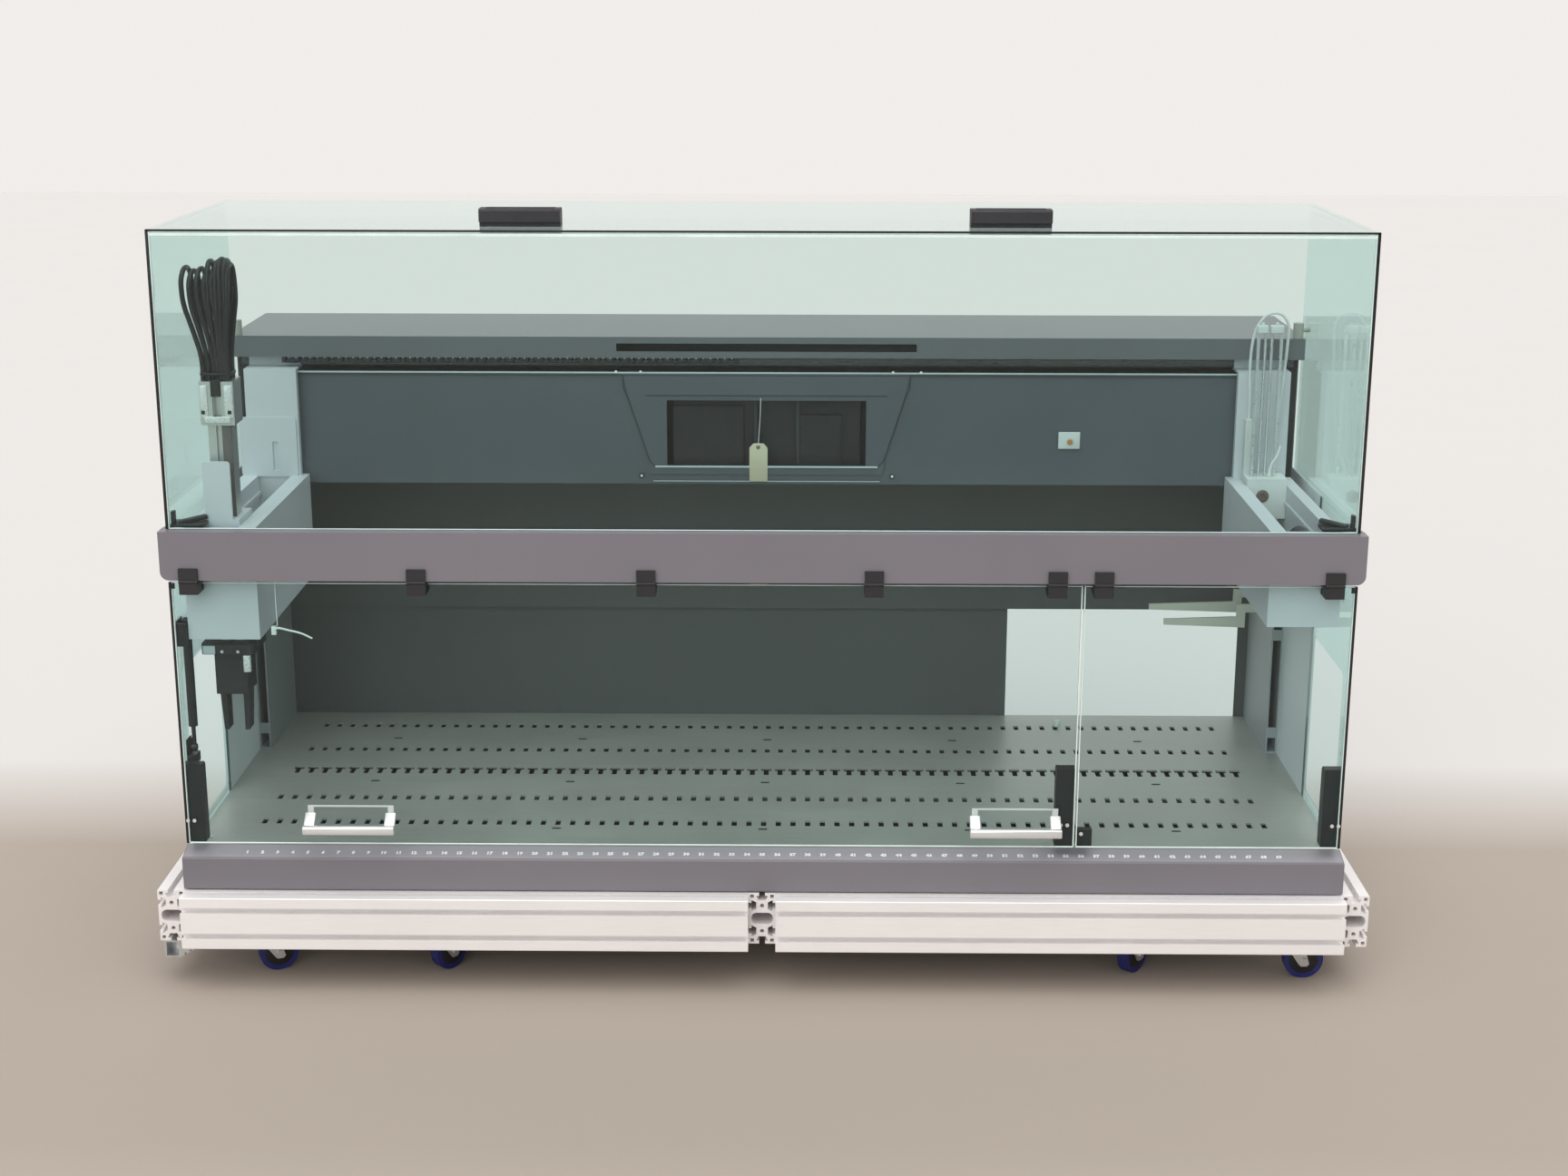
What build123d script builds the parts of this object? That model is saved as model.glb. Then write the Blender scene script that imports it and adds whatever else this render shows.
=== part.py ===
from build123d import *
import math
import os

# Liquid handling robot on a rolling frame, in millimetres.
# Origin: on the floor, under the middle of the frame.  +X to the right, +Y to the rear, +Z up.

# --- rolling frame of slotted aluminium profile ---
FRAME_LENGTH = 2000
FRAME_DEPTH = 800
PROFILE = 45                # side of one profile cell
SLOT_MOUTH = 10
SLOT_LIP = 5
SLOT_WIDTH = 20
SLOT_DEPTH = 13
CORE_HOLE_RADIUS = 3.5
CORE_OVAL_WIDTH = 36
CORE_OVAL_HEIGHT = 20
CORNER_HOLE = 6
CORNER_WALL = 3
CROSS_RAIL_SETBACK = 35     # the cross rails end this far inside the front rails' faces
BRACKET_INSET = 6           # jointing bracket inside the left cross rail's outer face
BRACKET_CHANNEL = (26, 30, 30)
BRACKET_WALL = 3
BRACKET_GUSSET = 44
BRACKET_GROOVES = 4

# --- casters ---
CASTER_HEIGHT = 76
CASTER_SETBACK = 88         # swivel axis behind the frame's front face
CASTER_PLATE = 64
CASTER_PLATE_THICKNESS = 3
RACE_RADIUS = 19
RACE_HEIGHT = 4
FORK_GAP = 0.3              # between the swivel race and the fork's crown
FORK_THICKNESS = 2.5
FORK_WIDTH = 26
KINGPIN_RADIUS = 5
AXLE_RADIUS = 4
RUNNING_CLEARANCE = 0.05
WHEEL_RADIUS = 33
TYRE_THICKNESS = 7
WHEEL_WIDTH = 24
WHEEL_SIDE_GAP = 1
TRAIL = 22
FRONT_CASTERS = ((-840, 25), (-546, 50), (611, 50), (886, 0))   # (x, rest swivel angle)

# --- base and worktable ---
BODY_WIDTH = 1892           # worktable between the side panels
LIP_WIDTH = 1910
FOOT_HEIGHT = 8
FOOT_RADIUS = 16
FOOT_XS = (-860, -300, 300, 860)
FOOT_SETBACK = 74           # front feet behind the frame's front face
PAN_HEIGHT = 56
PAN_WALL = 2
PAN_MARGIN = 12
DECK_THICKNESS = 3
DECK_SETBACK = 72           # worktable's front edge behind the frame's front face
DECK_REAR_SETBACK = 25
GRID_PITCH = 25
GRID_COUNT = 69
FIRST_ROW = 108             # first row of holes behind the deck's front edge
PLAIN_ROWS = (0, 120, 378, 516)
KEYED_ROW = 272
HOLE_SIZE = (9, 24)
KEY_HEAD = (19, 14)
KEY_STEM = (9, 22)
LIP_SETBACK = 35
LIP_SLOPE_DROP = 22
LIP_SHEET = 2.5
LIP_RETURN = 18
LIP_GAP = 2                 # between the lip's lower edge and the rails

# --- side walls, posts and rear panel ---
PANEL_THICKNESS = 4
PANEL_GAP = 0.5             # between the lip's rear edge and the side windows
PANEL_DROP = 55             # side panels reach this far below the worktable's top
PANEL_HEIGHT = 540          # and this far above it
WINDOW_SHEET_LENGTH = 263   # from the worktable's front edge to the rear side panel
WINDOW_MARGIN = 23
WINDOW_SILL = 15
WINDOW_HEIGHT = 283
WINDOW_RADIUS = 12
POST_WIDTH = 21
POST_DEPTH = 220
POST_WALL = 3
POST_TAB = 20
POST_TAB_HEIGHTS = (40, 228)
REAR_SHEET = 2
LEDGE_BOTTOM = 219
LEDGE_HEIGHT = 43
LEDGE_DEPTH = 12
LOADING_LEFT = 460          # rear loading opening
LOADING_RIGHT = 905

# --- cross beam over the rear of the table ---
BEAM_LENGTH = 1870
BEAM_SETBACK = 17           # beam's back in front of the worktable's rear edge
BEAM_DEPTH = 278
BEAM_CLEARANCE = 525        # underside above the worktable's top
BEAM_HEIGHT = 261
BEAM_WALL = 6
BEAM_COVER = 2
BEAM_BAND = 37              # front edge of the top cover
BEAM_SLOT = 24              # long slot that the arms ride in
BEAM_CORE_SETBACK = 45      # beam core behind the front cover
COVER_LENGTH = 1675
COVER_RETURN = 16
BAND_RECESS = (524, 14)
SERVICE_WIDTH = 350
SERVICE_BOTTOM = 31
SERVICE_HEIGHT = 119
BAY_TOP_WIDTH = 504
BAY_BOTTOM_WIDTH = 410
BAY_BOTTOM = 18
BAY_THICKNESS = 3
BAY_CORNER = 24
GUIDE_SIZE = 12
GUIDE_SPACER = 3
GUIDE_MARGIN = 10
CHAIN_LEFT = -848
CHAIN_LINKS = 32
CHAIN_PITCH = 25
CHAIN_DEPTH = 16
CHAIN_HEIGHT = 13
CHAIN_WALL = 2.5
CHAIN_SEAT = 0.3
MODULE_WIDTH = 330
MODULE_STEP = 16

# --- fascia, doors and hood ---
GLASS = 5
GLASS_SETBACK = 5           # glass plane behind the lip's front face
DOOR_OPENING = 466          # worktable's top to the fascia
FASCIA_HEIGHT = 79
FASCIA_STANDOUT = 20
FASCIA_SHEET = 2.5
FASCIA_OVERHANG = 3
FASCIA_RADIUS = 14
FASCIA_TOP_RETURN = 30
FASCIA_BOTTOM_RETURN = 14
FASCIA_EAR = 80
DOOR_SPLIT = 512
DOOR_GAP = 3
DOOR_HALF_WIDTH = 946
DOOR_BOTTOM = 14
DOOR_TOP_GAP = 8
CLIP_WIDTH = 30
CLIP_HEIGHT = 18
CLIP_THICKNESS = 6
CLIP_JAW = 5
LEFT_CLIP_XS = (-908, -547, -183, 178, 468)
RIGHT_CLIP_XS = (541, 905)
PIN_RADIUS = 1.5
KNUCKLE_RADIUS = 2.6
EAR_WIDTH = 4
KNUCKLE_GAP = 0.4
HANDLE_XS = (-673, 413)
HANDLE_LENGTH = 149
HANDLE_HEIGHT = 46
HANDLE_BAR = (12, 20)
HANDLE_STANDOUT = 34
HANDLE_BRACKET = 26
LOCK_SIZE = (30, 24, 134)
LOCK_TAPER = 6
KEEPER_SIZE = (26, 20, 28)
HOOD_SEAT_GAP = 0.5
HOOD_HEIGHT = 471
HOOD_LAP = 40               # hood's rear edge behind the beam's front face
HOOD_HALF_WIDTH = 944
HOOD_HANDLE_XS = (-376, 386)
HOOD_HANDLE = (126, 36, 28)
HOOD_HANDLE_SETBACK = 48
HOOD_HANDLE_LIP = 8
PIVOT_SETBACK = 12          # hood pivot behind the beam's front face
PIVOT_RISE = 14             # and above its top
PIVOT_POST_RADIUS = 9
PIVOT_POST_HEIGHT = 26
PIVOT_PIN_RADIUS = 4

# --- gas spring of the wide door ---
SPRING_X = -935
SPRING_SETBACK = 40         # behind the doors' rear face
SPRING_FOOT_HEIGHT = 165
SPRING_LENGTH = 216
SPRING_BARREL_RADIUS = 7.5
SPRING_BARREL_LENGTH = 172
SPRING_ROD_RADIUS = 3.5
SPRING_EYE_RADIUS = 6.5
SPRING_EYE_THICKNESS = 8
STUD_RADIUS = 3
STUD_GAP = 0.3
ANCHOR_SIZE = (22, 28)
BRACKET_PAD = (20, 4, 38)

# --- arms ---
ARM_OUTER = 923
ARM_WIDTH = 115
ARM_TOP = 542
ARM_FRONT_GAP = 12          # arm's nose behind the doors' front face
ARM_BACK_GAP = 6            # between the arm's back plate and the beam's cover
ARM_BACK_PLATE = 14
ARM_NOSE = 14
ARM_SHELL = 2.5
SHOE_GAP = 0.5
SHOE_WALL = 4
SHOE_LIP = 14
SHOE_MARGIN = 12
SLIDE_GAP = 0.4             # carriages in the arms' channels
TRACK = (4, 6)              # guide track on the inner walls of a channel
TRACK_DROP = 34

# liquid arm, parked at the right
LIQUID_BOTTOM = 388
LIQUID_INNER_RAIL = 25
LIQUID_OUTER_RAIL = 20
LIQUID_CARRIAGE = (55, 70)  # length along the arm, height
LIQUID_CARRIAGE_BACK_GAP = 4
LIQUID_TRUNK = (12, 16, 96)
TIP_XS = ((845, 857), (884, 868))   # rack and tube of each tip
TIP_LENGTH = 424
TIP_TOP = 816
TIP_RACK = 5
TIP_TUBE_RADIUS = 2.6
TIP_HOLE_GAP = 0.3
TIP_CAP_HEIGHT = 9
TIP_NOZZLE_LENGTH = 24
MOTOR_RADIUS = 17
MOTOR_LENGTH = 40
MOTOR_SETBACK = 24
TUBING_RADIUS = 2.5

# gripper arm, parked at the left
GRIPPER_BOTTOM = 360
GRIPPER_RAIL = 28
COLUMN_X = -865
COLUMN_SETBACK = 68         # behind the arm's nose
COLUMN_SIZE = (36, 40)
COLUMN_BOTTOM = 345
COLUMN_HEIGHT = 427
COLUMN_GROOVE = (10, 5)
CLAMP_SIZE = (54, 52, 70)
CLAMP_SLOT = (14, 8, 12)    # width, depth, height of its sill
CARRIAGE_SIZE = (84, 62)
CARRIAGE_PLATE = (44, 5, 94)
HEAD_SIZE = (86, 92, 17)
HEAD_BODY = (52, 60, 72)
HEAD_GAP = 0.3
SWIVEL_RADIUS = 9
HEAD_OFFSET = -3
FINGER_GAP = 0.4
FINGER_THICKNESS = 7
FINGER_WIDTH = 30
FINGER_SPREAD = 27
FINGER_DROP = 66
CABLE_RADIUS = 4
# each cable: (x at the clamp, x at the top, share taken off its height)
CABLE_LOOPS = ((-22, -43, 0.0), (-13, -31, 0.03), (-4, -19, 0.01), (5, -8, 0.04), (14, 4, 0.0))
COVER_PLATE_THICKNESS = 3
COVER_PLATE_HEIGHT = 104
COVER_TOWER_WIDTH = 50

# --- cable supports at the right rear ---
SUPPORT_THICKNESS = 4
SUPPORT_LENGTHS = (212, 190)
SUPPORT_SETBACKS = (125, 165)
SUPPORT_HEIGHTS = (250, 232)
SUPPORT_BAR = 16
SUPPORT_RISE = 40
SUPPORT_TAPER = 5

# --- derived levels ---
RAIL_TOP = CASTER_HEIGHT + 2 * PROFILE
PAN_BOTTOM = RAIL_TOP + FOOT_HEIGHT
DECK_TOP = PAN_BOTTOM + PAN_HEIGHT + DECK_THICKNESS
FRAME_FRONT = -FRAME_DEPTH / 2
LIP_FRONT = FRAME_FRONT + LIP_SETBACK
DECK_FRONT = FRAME_FRONT + DECK_SETBACK
DECK_BACK = FRAME_DEPTH / 2 - DECK_REAR_SETBACK
DECK_DEPTH = DECK_BACK - DECK_FRONT
PANEL_JOINT = DECK_FRONT + WINDOW_SHEET_LENGTH
WINDOW_FRONT = DECK_FRONT + WINDOW_MARGIN
POST_FRONT = DECK_BACK - POST_DEPTH
GLASS_FRONT = LIP_FRONT + GLASS_SETBACK
GLASS_BACK = GLASS_FRONT + GLASS
FASCIA_BOTTOM = DECK_TOP + DOOR_OPENING
FASCIA_TOP = FASCIA_BOTTOM + FASCIA_HEIGHT
FASCIA_FRONT = GLASS_FRONT - FASCIA_STANDOUT
PANEL_INNER = BODY_WIDTH / 2
PANEL_OUTER = PANEL_INNER + PANEL_THICKNESS
PANEL_TOP = DECK_TOP + PANEL_HEIGHT
PANEL_BACK = DECK_BACK - REAR_SHEET
BEAM_BOTTOM = DECK_TOP + BEAM_CLEARANCE
BEAM_TOP = BEAM_BOTTOM + BEAM_HEIGHT
BEAM_BACK = DECK_BACK - BEAM_SETBACK
BEAM_FRONT = BEAM_BACK - BEAM_DEPTH
BAND_BOTTOM = BEAM_TOP - BEAM_BAND
COVER_TOP = BAND_BOTTOM - BEAM_SLOT
CORE_FRONT = BEAM_FRONT + BEAM_CORE_SETBACK
HINGE_Y = FASCIA_FRONT - CLIP_THICKNESS + 1
HINGE_Z = FASCIA_BOTTOM - 1
DOOR_Z = DECK_TOP + DOOR_BOTTOM
DOOR_TOP = FASCIA_BOTTOM - DOOR_TOP_GAP
HOOD_BOTTOM = FASCIA_TOP + HOOD_SEAT_GAP
HOOD_TOP = HOOD_BOTTOM + HOOD_HEIGHT
HOOD_BACK = BEAM_FRONT + HOOD_LAP
PIVOT_Y = BEAM_FRONT + PIVOT_SETBACK
PIVOT_Z = BEAM_TOP + PIVOT_RISE
ARM_FRONT = GLASS_FRONT + ARM_FRONT_GAP
ARM_BACK = BEAM_FRONT - ARM_BACK_GAP
ARM_INNER = ARM_OUTER - ARM_WIDTH
ARM_TOP_Z = DECK_TOP + ARM_TOP
SPRING_Y = GLASS_BACK + SPRING_SETBACK
COLUMN_Y = ARM_FRONT + COLUMN_SETBACK
GUIDE_FRONT = CORE_FRONT - GUIDE_SPACER - GUIDE_SIZE
GUIDE_BOTTOM = COVER_TOP + SHOE_WALL + 2 * SHOE_GAP + 1


def block(x0, x1, y0, y1, z0, z1):
    """Solid between two corners."""
    return Pos((x0 + x1) / 2, (y0 + y1) / 2, (z0 + z1) / 2) * Box(x1 - x0, y1 - y0, z1 - z0)


def tall_cylinder(x, y, z0, z1, radius):
    """Upright round bar between two heights."""
    return Pos(x, y, (z0 + z1) / 2) * Cylinder(radius, z1 - z0)


def cross_cylinder(x0, x1, y, z, radius):
    """Round bar along X."""
    return Pos((x0 + x1) / 2, y, z) * Rot(0, 90, 0) * Cylinder(radius, x1 - x0)


def folded_sheet(chain, thickness):
    """Outline in (y, z) of a sheet folded along a chain of points, its wall left of the chain."""
    points = [Vector(y, z) for y, z in chain]
    runs = [(b - a).normalized() for a, b in zip(points, points[1:])]
    sides = [Vector(-run.Y, run.X) for run in runs]
    inner = [points[0] + sides[0] * thickness]
    for point, before, after in zip(points[1:], sides, sides[1:]):
        inner.append(point + (before + after) * (thickness / (1 + before.dot(after))))
    inner.append(points[-1] + sides[-1] * thickness)
    return make_face(Polyline(*points, *reversed(inner), close=True))


def along_x(outline, x0, x1):
    """Outline in (y, z) carried along X."""
    return Pos(x0, 0, 0) * extrude(Plane.YZ * outline, amount=x1 - x0)


def along_y(outline, y0, y1):
    """Outline in (x, z) carried along Y."""
    return Pos(0, y1, 0) * extrude(Plane.XZ * outline, amount=y1 - y0)


def panel_yz(x0, x1, y0, y1, z0, z1, radius=0):
    """Flat sheet across X, with rounded corners if a radius is given."""
    shape = RectangleRounded(y1 - y0, z1 - z0, radius) if radius else Rectangle(y1 - y0, z1 - z0)
    return along_x(Pos((y0 + y1) / 2, (z0 + z1) / 2) * shape, x0, x1)


def panel_xz(x0, x1, z0, z1, y0, y1, radius=0):
    """Flat sheet across Y, with rounded corners if a radius is given."""
    shape = RectangleRounded(x1 - x0, z1 - z0, radius) if radius else Rectangle(x1 - x0, z1 - z0)
    return along_y(Pos((x0 + x1) / 2, (z0 + z1) / 2) * shape, y0, y1)


def mirrored(solid):
    """The solid and its mirror image on the other side of the centre plane."""
    return [solid, mirror(solid, about=Plane.YZ)]


def group(solids):
    """Separate solids that share one node."""
    return Compound(children=[s.solid() if not isinstance(s, Solid) else s for s in solids])


# --- rolling frame -----------------------------------------------------------------------

def slot_outline(x, y, angle):
    """T-slot cut into a face at (x, y), opening towards the given angle."""
    half_mouth = SLOT_MOUTH / 2
    half_width = SLOT_WIDTH / 2
    bottom = half_width - (SLOT_DEPTH - SLOT_LIP) / 2
    points = [(1, -half_mouth), (-SLOT_LIP, -half_mouth), (-SLOT_LIP, -half_width), (-SLOT_DEPTH, -bottom),
              (-SLOT_DEPTH, bottom), (-SLOT_LIP, half_width), (-SLOT_LIP, half_mouth), (1, half_mouth)]
    return Pos(x, y) * Rot(0, 0, angle) * make_face(Polyline(*points, close=True))


def rail_outline(cells_wide, cells_high, cored):
    """Cross-section of a slotted profile, centred on its middle."""
    width = cells_wide * PROFILE
    height = cells_high * PROFILE
    outline = RectangleRounded(width, height, 1.5)
    columns = [(i - (cells_wide - 1) / 2) * PROFILE for i in range(cells_wide)]
    rows = [(i - (cells_high - 1) / 2) * PROFILE for i in range(cells_high)]
    for row in rows:
        outline -= slot_outline(width / 2, row, 0)
        outline -= slot_outline(-width / 2, row, 180)
        if cored:
            outline -= Pos(0, row) * Circle(CORE_HOLE_RADIUS)
    for column in columns:
        outline -= slot_outline(column, height / 2, 90)
        outline -= slot_outline(column, -height / 2, 270)
    if cored:
        outline -= RectangleRounded(CORE_OVAL_WIDTH, CORE_OVAL_HEIGHT, CORE_OVAL_HEIGHT / 2 - 1)
        inset = CORNER_WALL + CORNER_HOLE / 2
        for x in (-width / 2 + inset, width / 2 - inset):
            for y in (-height / 2 + inset, height / 2 - inset):
                outline -= Pos(x, y) * Rectangle(CORNER_HOLE, CORNER_HOLE)
    else:
        outline -= RectangleRounded(PROFILE, PROFILE, 4)
    return outline


def cross_rail(x):
    """Tall profile from front to back."""
    reach = FRAME_DEPTH - 2 * CROSS_RAIL_SETBACK
    outline = Pos(x, CASTER_HEIGHT + PROFILE) * rail_outline(1, 2, True)
    return along_y(outline, -reach / 2, reach / 2)


def long_rail(x0, x1, y):
    """Square profile along the frame, butted between two cross rails."""
    outline = Pos(y, CASTER_HEIGHT + PROFILE) * rail_outline(2, 2, False)
    return along_x(outline, x0, x1)


def dolly_rails():
    """Three cross rails with four long rails between them."""
    outer = (FRAME_LENGTH - PROFILE) / 2
    rails = [cross_rail(x) for x in (-outer, 0, outer)]
    for y in (FRAME_FRONT + PROFILE, -FRAME_FRONT - PROFILE):
        rails.append(long_rail(-outer + PROFILE / 2, -PROFILE / 2, y))
        rails.append(long_rail(PROFILE / 2, outer - PROFILE / 2, y))
    return group(rails)


# --- casters -----------------------------------------------------------------------------

def corner_bracket():
    """Jointing bracket under the left cross rail's front end: an open channel and a grooved gusset."""
    wide, deep, drop = BRACKET_CHANNEL
    x0 = -FRAME_LENGTH / 2 + BRACKET_INSET
    x1 = x0 + wide
    y0 = FRAME_FRONT + CROSS_RAIL_SETBACK
    low = CASTER_HEIGHT - drop
    channel = block(x0, x1, y0, y0 + deep, low, CASTER_HEIGHT)
    channel -= block(x0 + BRACKET_WALL, x1 - BRACKET_WALL, y0 - 1, y0 + deep - BRACKET_WALL,
                     low + BRACKET_WALL, CASTER_HEIGHT - BRACKET_WALL)
    gusset = along_y(make_face(Polyline(
        (x1 - BRACKET_WALL, low), (x1, low), (x1 + BRACKET_GUSSET, CASTER_HEIGHT - BRACKET_WALL),
        (x1 + BRACKET_GUSSET, CASTER_HEIGHT), (x1 - BRACKET_WALL, CASTER_HEIGHT), close=True)), y0, y0 + deep)
    slope = math.atan2(drop - BRACKET_WALL, BRACKET_GUSSET)
    step = math.hypot(drop - BRACKET_WALL, BRACKET_GUSSET) / (BRACKET_GROOVES + 1)
    for count in range(1, BRACKET_GROOVES + 1):
        x = x1 + count * step * math.cos(slope)
        z = low + count * step * math.sin(slope)
        groove = Rot(0, -math.degrees(slope), 0) * Box(step / 3, deep - 2 * BRACKET_WALL, 2 * BRACKET_WALL)
        gusset -= Pos(x, y0 + deep / 2 - BRACKET_WALL, z) * groove
    return channel + gusset


def caster_places():
    """Swivel axis (x, y) and rest angle of each caster, front row first."""
    front = FRAME_FRONT + CASTER_SETBACK
    places = [(x, front, angle) for x, angle in FRONT_CASTERS]
    return places + [(x, -front, -angle) for x, angle in FRONT_CASTERS]


def caster_plate(x, y):
    """Top plate with the fixed half of the swivel race and its bore."""
    top = CASTER_HEIGHT
    plate = Pos(x, y, top - CASTER_PLATE_THICKNESS / 2) * extrude(
        RectangleRounded(CASTER_PLATE, CASTER_PLATE, 5), CASTER_PLATE_THICKNESS / 2, both=True)
    race_top = top - CASTER_PLATE_THICKNESS
    race = tall_cylinder(x, y, race_top - RACE_HEIGHT, race_top, RACE_RADIUS)
    bore = tall_cylinder(x, y, race_top - RACE_HEIGHT, race_top, KINGPIN_RADIUS + RUNNING_CLEARANCE)
    return plate + (race - bore)


def caster_fork(x, y, angle):
    """Crown with kingpin, two legs swept back to the axle, and the axle bolt."""
    race_bottom = CASTER_HEIGHT - CASTER_PLATE_THICKNESS - RACE_HEIGHT
    crown_top = race_bottom - FORK_GAP
    crown_bottom = crown_top - FORK_THICKNESS
    half = WHEEL_WIDTH / 2 + WHEEL_SIDE_GAP
    outer = half + FORK_THICKNESS
    leg_half = FORK_WIDTH / 2
    leg = make_face(Polyline(
        (-leg_half, crown_bottom), (TRAIL - 9, WHEEL_RADIUS - 6), (TRAIL - 5, WHEEL_RADIUS - 10),
        (TRAIL + 5, WHEEL_RADIUS - 10), (TRAIL + 9, WHEEL_RADIUS - 6), (leg_half + 6, crown_bottom), close=True))
    legs = along_y(leg, -outer, -half) + along_y(leg, half, outer)
    crown = block(-leg_half, leg_half - 1, -outer, outer, crown_bottom, crown_top)
    pin = tall_cylinder(0, 0, crown_top, race_bottom + RACE_HEIGHT - FORK_GAP, KINGPIN_RADIUS)
    axle = Pos(TRAIL, 0, WHEEL_RADIUS) * Rot(90, 0, 0) * Cylinder(AXLE_RADIUS, 2 * outer)
    nuts = [Pos(TRAIL, side * (outer + 2), WHEEL_RADIUS) * Rot(90, 0, 0) *
            extrude(RegularPolygon(AXLE_RADIUS + 2, 6), 2, both=True) for side in (-1, 1)]
    fork = crown + legs + pin + axle + nuts[0] + nuts[1]
    return Pos(x, y, 0) * Rot(0, 0, angle) * fork


def caster_wheel(x, y, angle):
    """Wheel with a tyre step at its rim and a bore for the axle."""
    half = WHEEL_WIDTH / 2
    rim = WHEEL_RADIUS - TYRE_THICKNESS
    bore = AXLE_RADIUS + RUNNING_CLEARANCE
    outline = make_face(Polyline((bore, -half), (rim, -half + 3), (WHEEL_RADIUS, -half + 3),
                                 (WHEEL_RADIUS, half - 3), (rim, half - 3), (bore, half), close=True))
    wheel = revolve(Plane.XY * outline, Axis.Y)
    return Pos(x, y, 0) * Rot(0, 0, angle) * Pos(TRAIL, 0, WHEEL_RADIUS) * wheel


# --- base and worktable ------------------------------------------------------------------

def instrument_feet():
    """Levelling pads between the rails and the base pan."""
    front = FRAME_FRONT + FOOT_SETBACK
    rear = -FRAME_FRONT - PROFILE
    places = [(x, y) for x in FOOT_XS for y in (front, rear)]
    return group([tall_cylinder(x, y, RAIL_TOP, PAN_BOTTOM, FOOT_RADIUS) for x, y in places])


def base_pan():
    """Open tray under the worktable, with two stiffening ribs."""
    half = PANEL_INNER - PAN_MARGIN
    front = DECK_FRONT
    pan = block(-half, half, front, DECK_BACK, PAN_BOTTOM, PAN_BOTTOM + PAN_HEIGHT)
    pan -= block(-half + PAN_WALL, half - PAN_WALL, front + PAN_WALL, DECK_BACK - PAN_WALL,
                 PAN_BOTTOM + PAN_WALL, PAN_BOTTOM + PAN_HEIGHT)
    for i in (1, 2):
        y = front + (DECK_BACK - front) * i / 3
        pan += block(-half, half, y - PAN_WALL / 2, y + PAN_WALL / 2, PAN_BOTTOM, PAN_BOTTOM + PAN_HEIGHT)
    return pan


def grid_xs():
    """X of every grid position."""
    return [(i - (GRID_COUNT - 1) / 2) * GRID_PITCH for i in range(GRID_COUNT)]


def worktable_deck():
    """Deck plate with four rows of short slots and one row of keyed slots."""
    first = DECK_FRONT + FIRST_ROW
    middle = (DECK_FRONT + DECK_BACK) / 2
    plate = Pos(0, middle) * Rectangle(BODY_WIDTH, DECK_DEPTH)
    head = Rectangle(*KEY_HEAD)
    stem = Pos(0, -(KEY_HEAD[1] + KEY_STEM[1]) / 2) * Rectangle(*KEY_STEM)
    holes = [Pos(x, first + row) * Rectangle(*HOLE_SIZE) for row in PLAIN_ROWS for x in grid_xs()]
    holes += [Pos(x, first + KEYED_ROW) * (head + stem) for x in grid_xs()]
    wires = [hole.face().outer_wire() for hole in holes]
    face = plate.face().make_holes(wires)
    return Pos(0, 0, DECK_TOP - DECK_THICKNESS) * extrude(face, DECK_THICKNESS, dir=(0, 0, 1))


def front_lip():
    """Folded front strip: sloped number strip, upright face and lower return, closed at both ends."""
    lower = RAIL_TOP + LIP_GAP
    bend = DECK_TOP - LIP_SLOPE_DROP
    chain = [(DECK_FRONT, DECK_TOP), (LIP_FRONT, bend), (LIP_FRONT, lower), (LIP_FRONT + LIP_RETURN, lower)]
    strip = along_x(folded_sheet(chain, LIP_SHEET), -LIP_WIDTH / 2, LIP_WIDTH / 2)
    strip -= block(-LIP_WIDTH, LIP_WIDTH, DECK_FRONT, DECK_FRONT + 2 * LIP_SHEET, bend, DECK_TOP + 1)
    end = make_face(Polyline(chain[0], chain[1], chain[2], chain[3], (DECK_FRONT, PAN_BOTTOM), close=True))
    inner = LIP_WIDTH / 2 - LIP_SHEET
    return strip + along_x(end, inner, LIP_WIDTH / 2) + along_x(end, -LIP_WIDTH / 2, -inner)


# --- side walls, posts and rear panel ----------------------------------------------------

def side_windows():
    """Tinted side sheets with a large access opening."""
    front = DECK_FRONT + PANEL_GAP
    sheet = panel_yz(PANEL_INNER, PANEL_OUTER, front, PANEL_JOINT, DECK_TOP - PANEL_DROP, PANEL_TOP)
    sill = DECK_TOP + WINDOW_SILL
    sheet -= panel_yz(PANEL_INNER - 1, PANEL_OUTER + 1, WINDOW_FRONT, PANEL_JOINT - WINDOW_SILL, sill,
                      sill + WINDOW_HEIGHT, WINDOW_RADIUS)
    return group(mirrored(sheet))


def side_rear_panels():
    """Opaque sheets behind the side windows."""
    sheet = panel_yz(PANEL_INNER, PANEL_OUTER, PANEL_JOINT, DECK_BACK, DECK_TOP - PANEL_DROP, PANEL_TOP)
    return group(mirrored(sheet))


def rear_posts():
    """Channel posts that carry the beam, open to the front, with two screw tabs each."""
    inner = PANEL_INNER - POST_WIDTH
    post = block(inner, PANEL_INNER, POST_FRONT, PANEL_BACK, DECK_TOP, BEAM_BOTTOM)
    post -= block(inner + POST_WALL, PANEL_INNER - POST_WALL, POST_FRONT - 1, PANEL_BACK - POST_WALL,
                  DECK_TOP + POST_WALL, BEAM_BOTTOM - POST_WALL)
    for height in POST_TAB_HEIGHTS:
        middle = DECK_TOP + height
        post += block(inner, PANEL_INNER, POST_FRONT, POST_FRONT + POST_WALL, middle - POST_TAB / 2,
                      middle + POST_TAB / 2)
    return group(mirrored(post))


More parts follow.
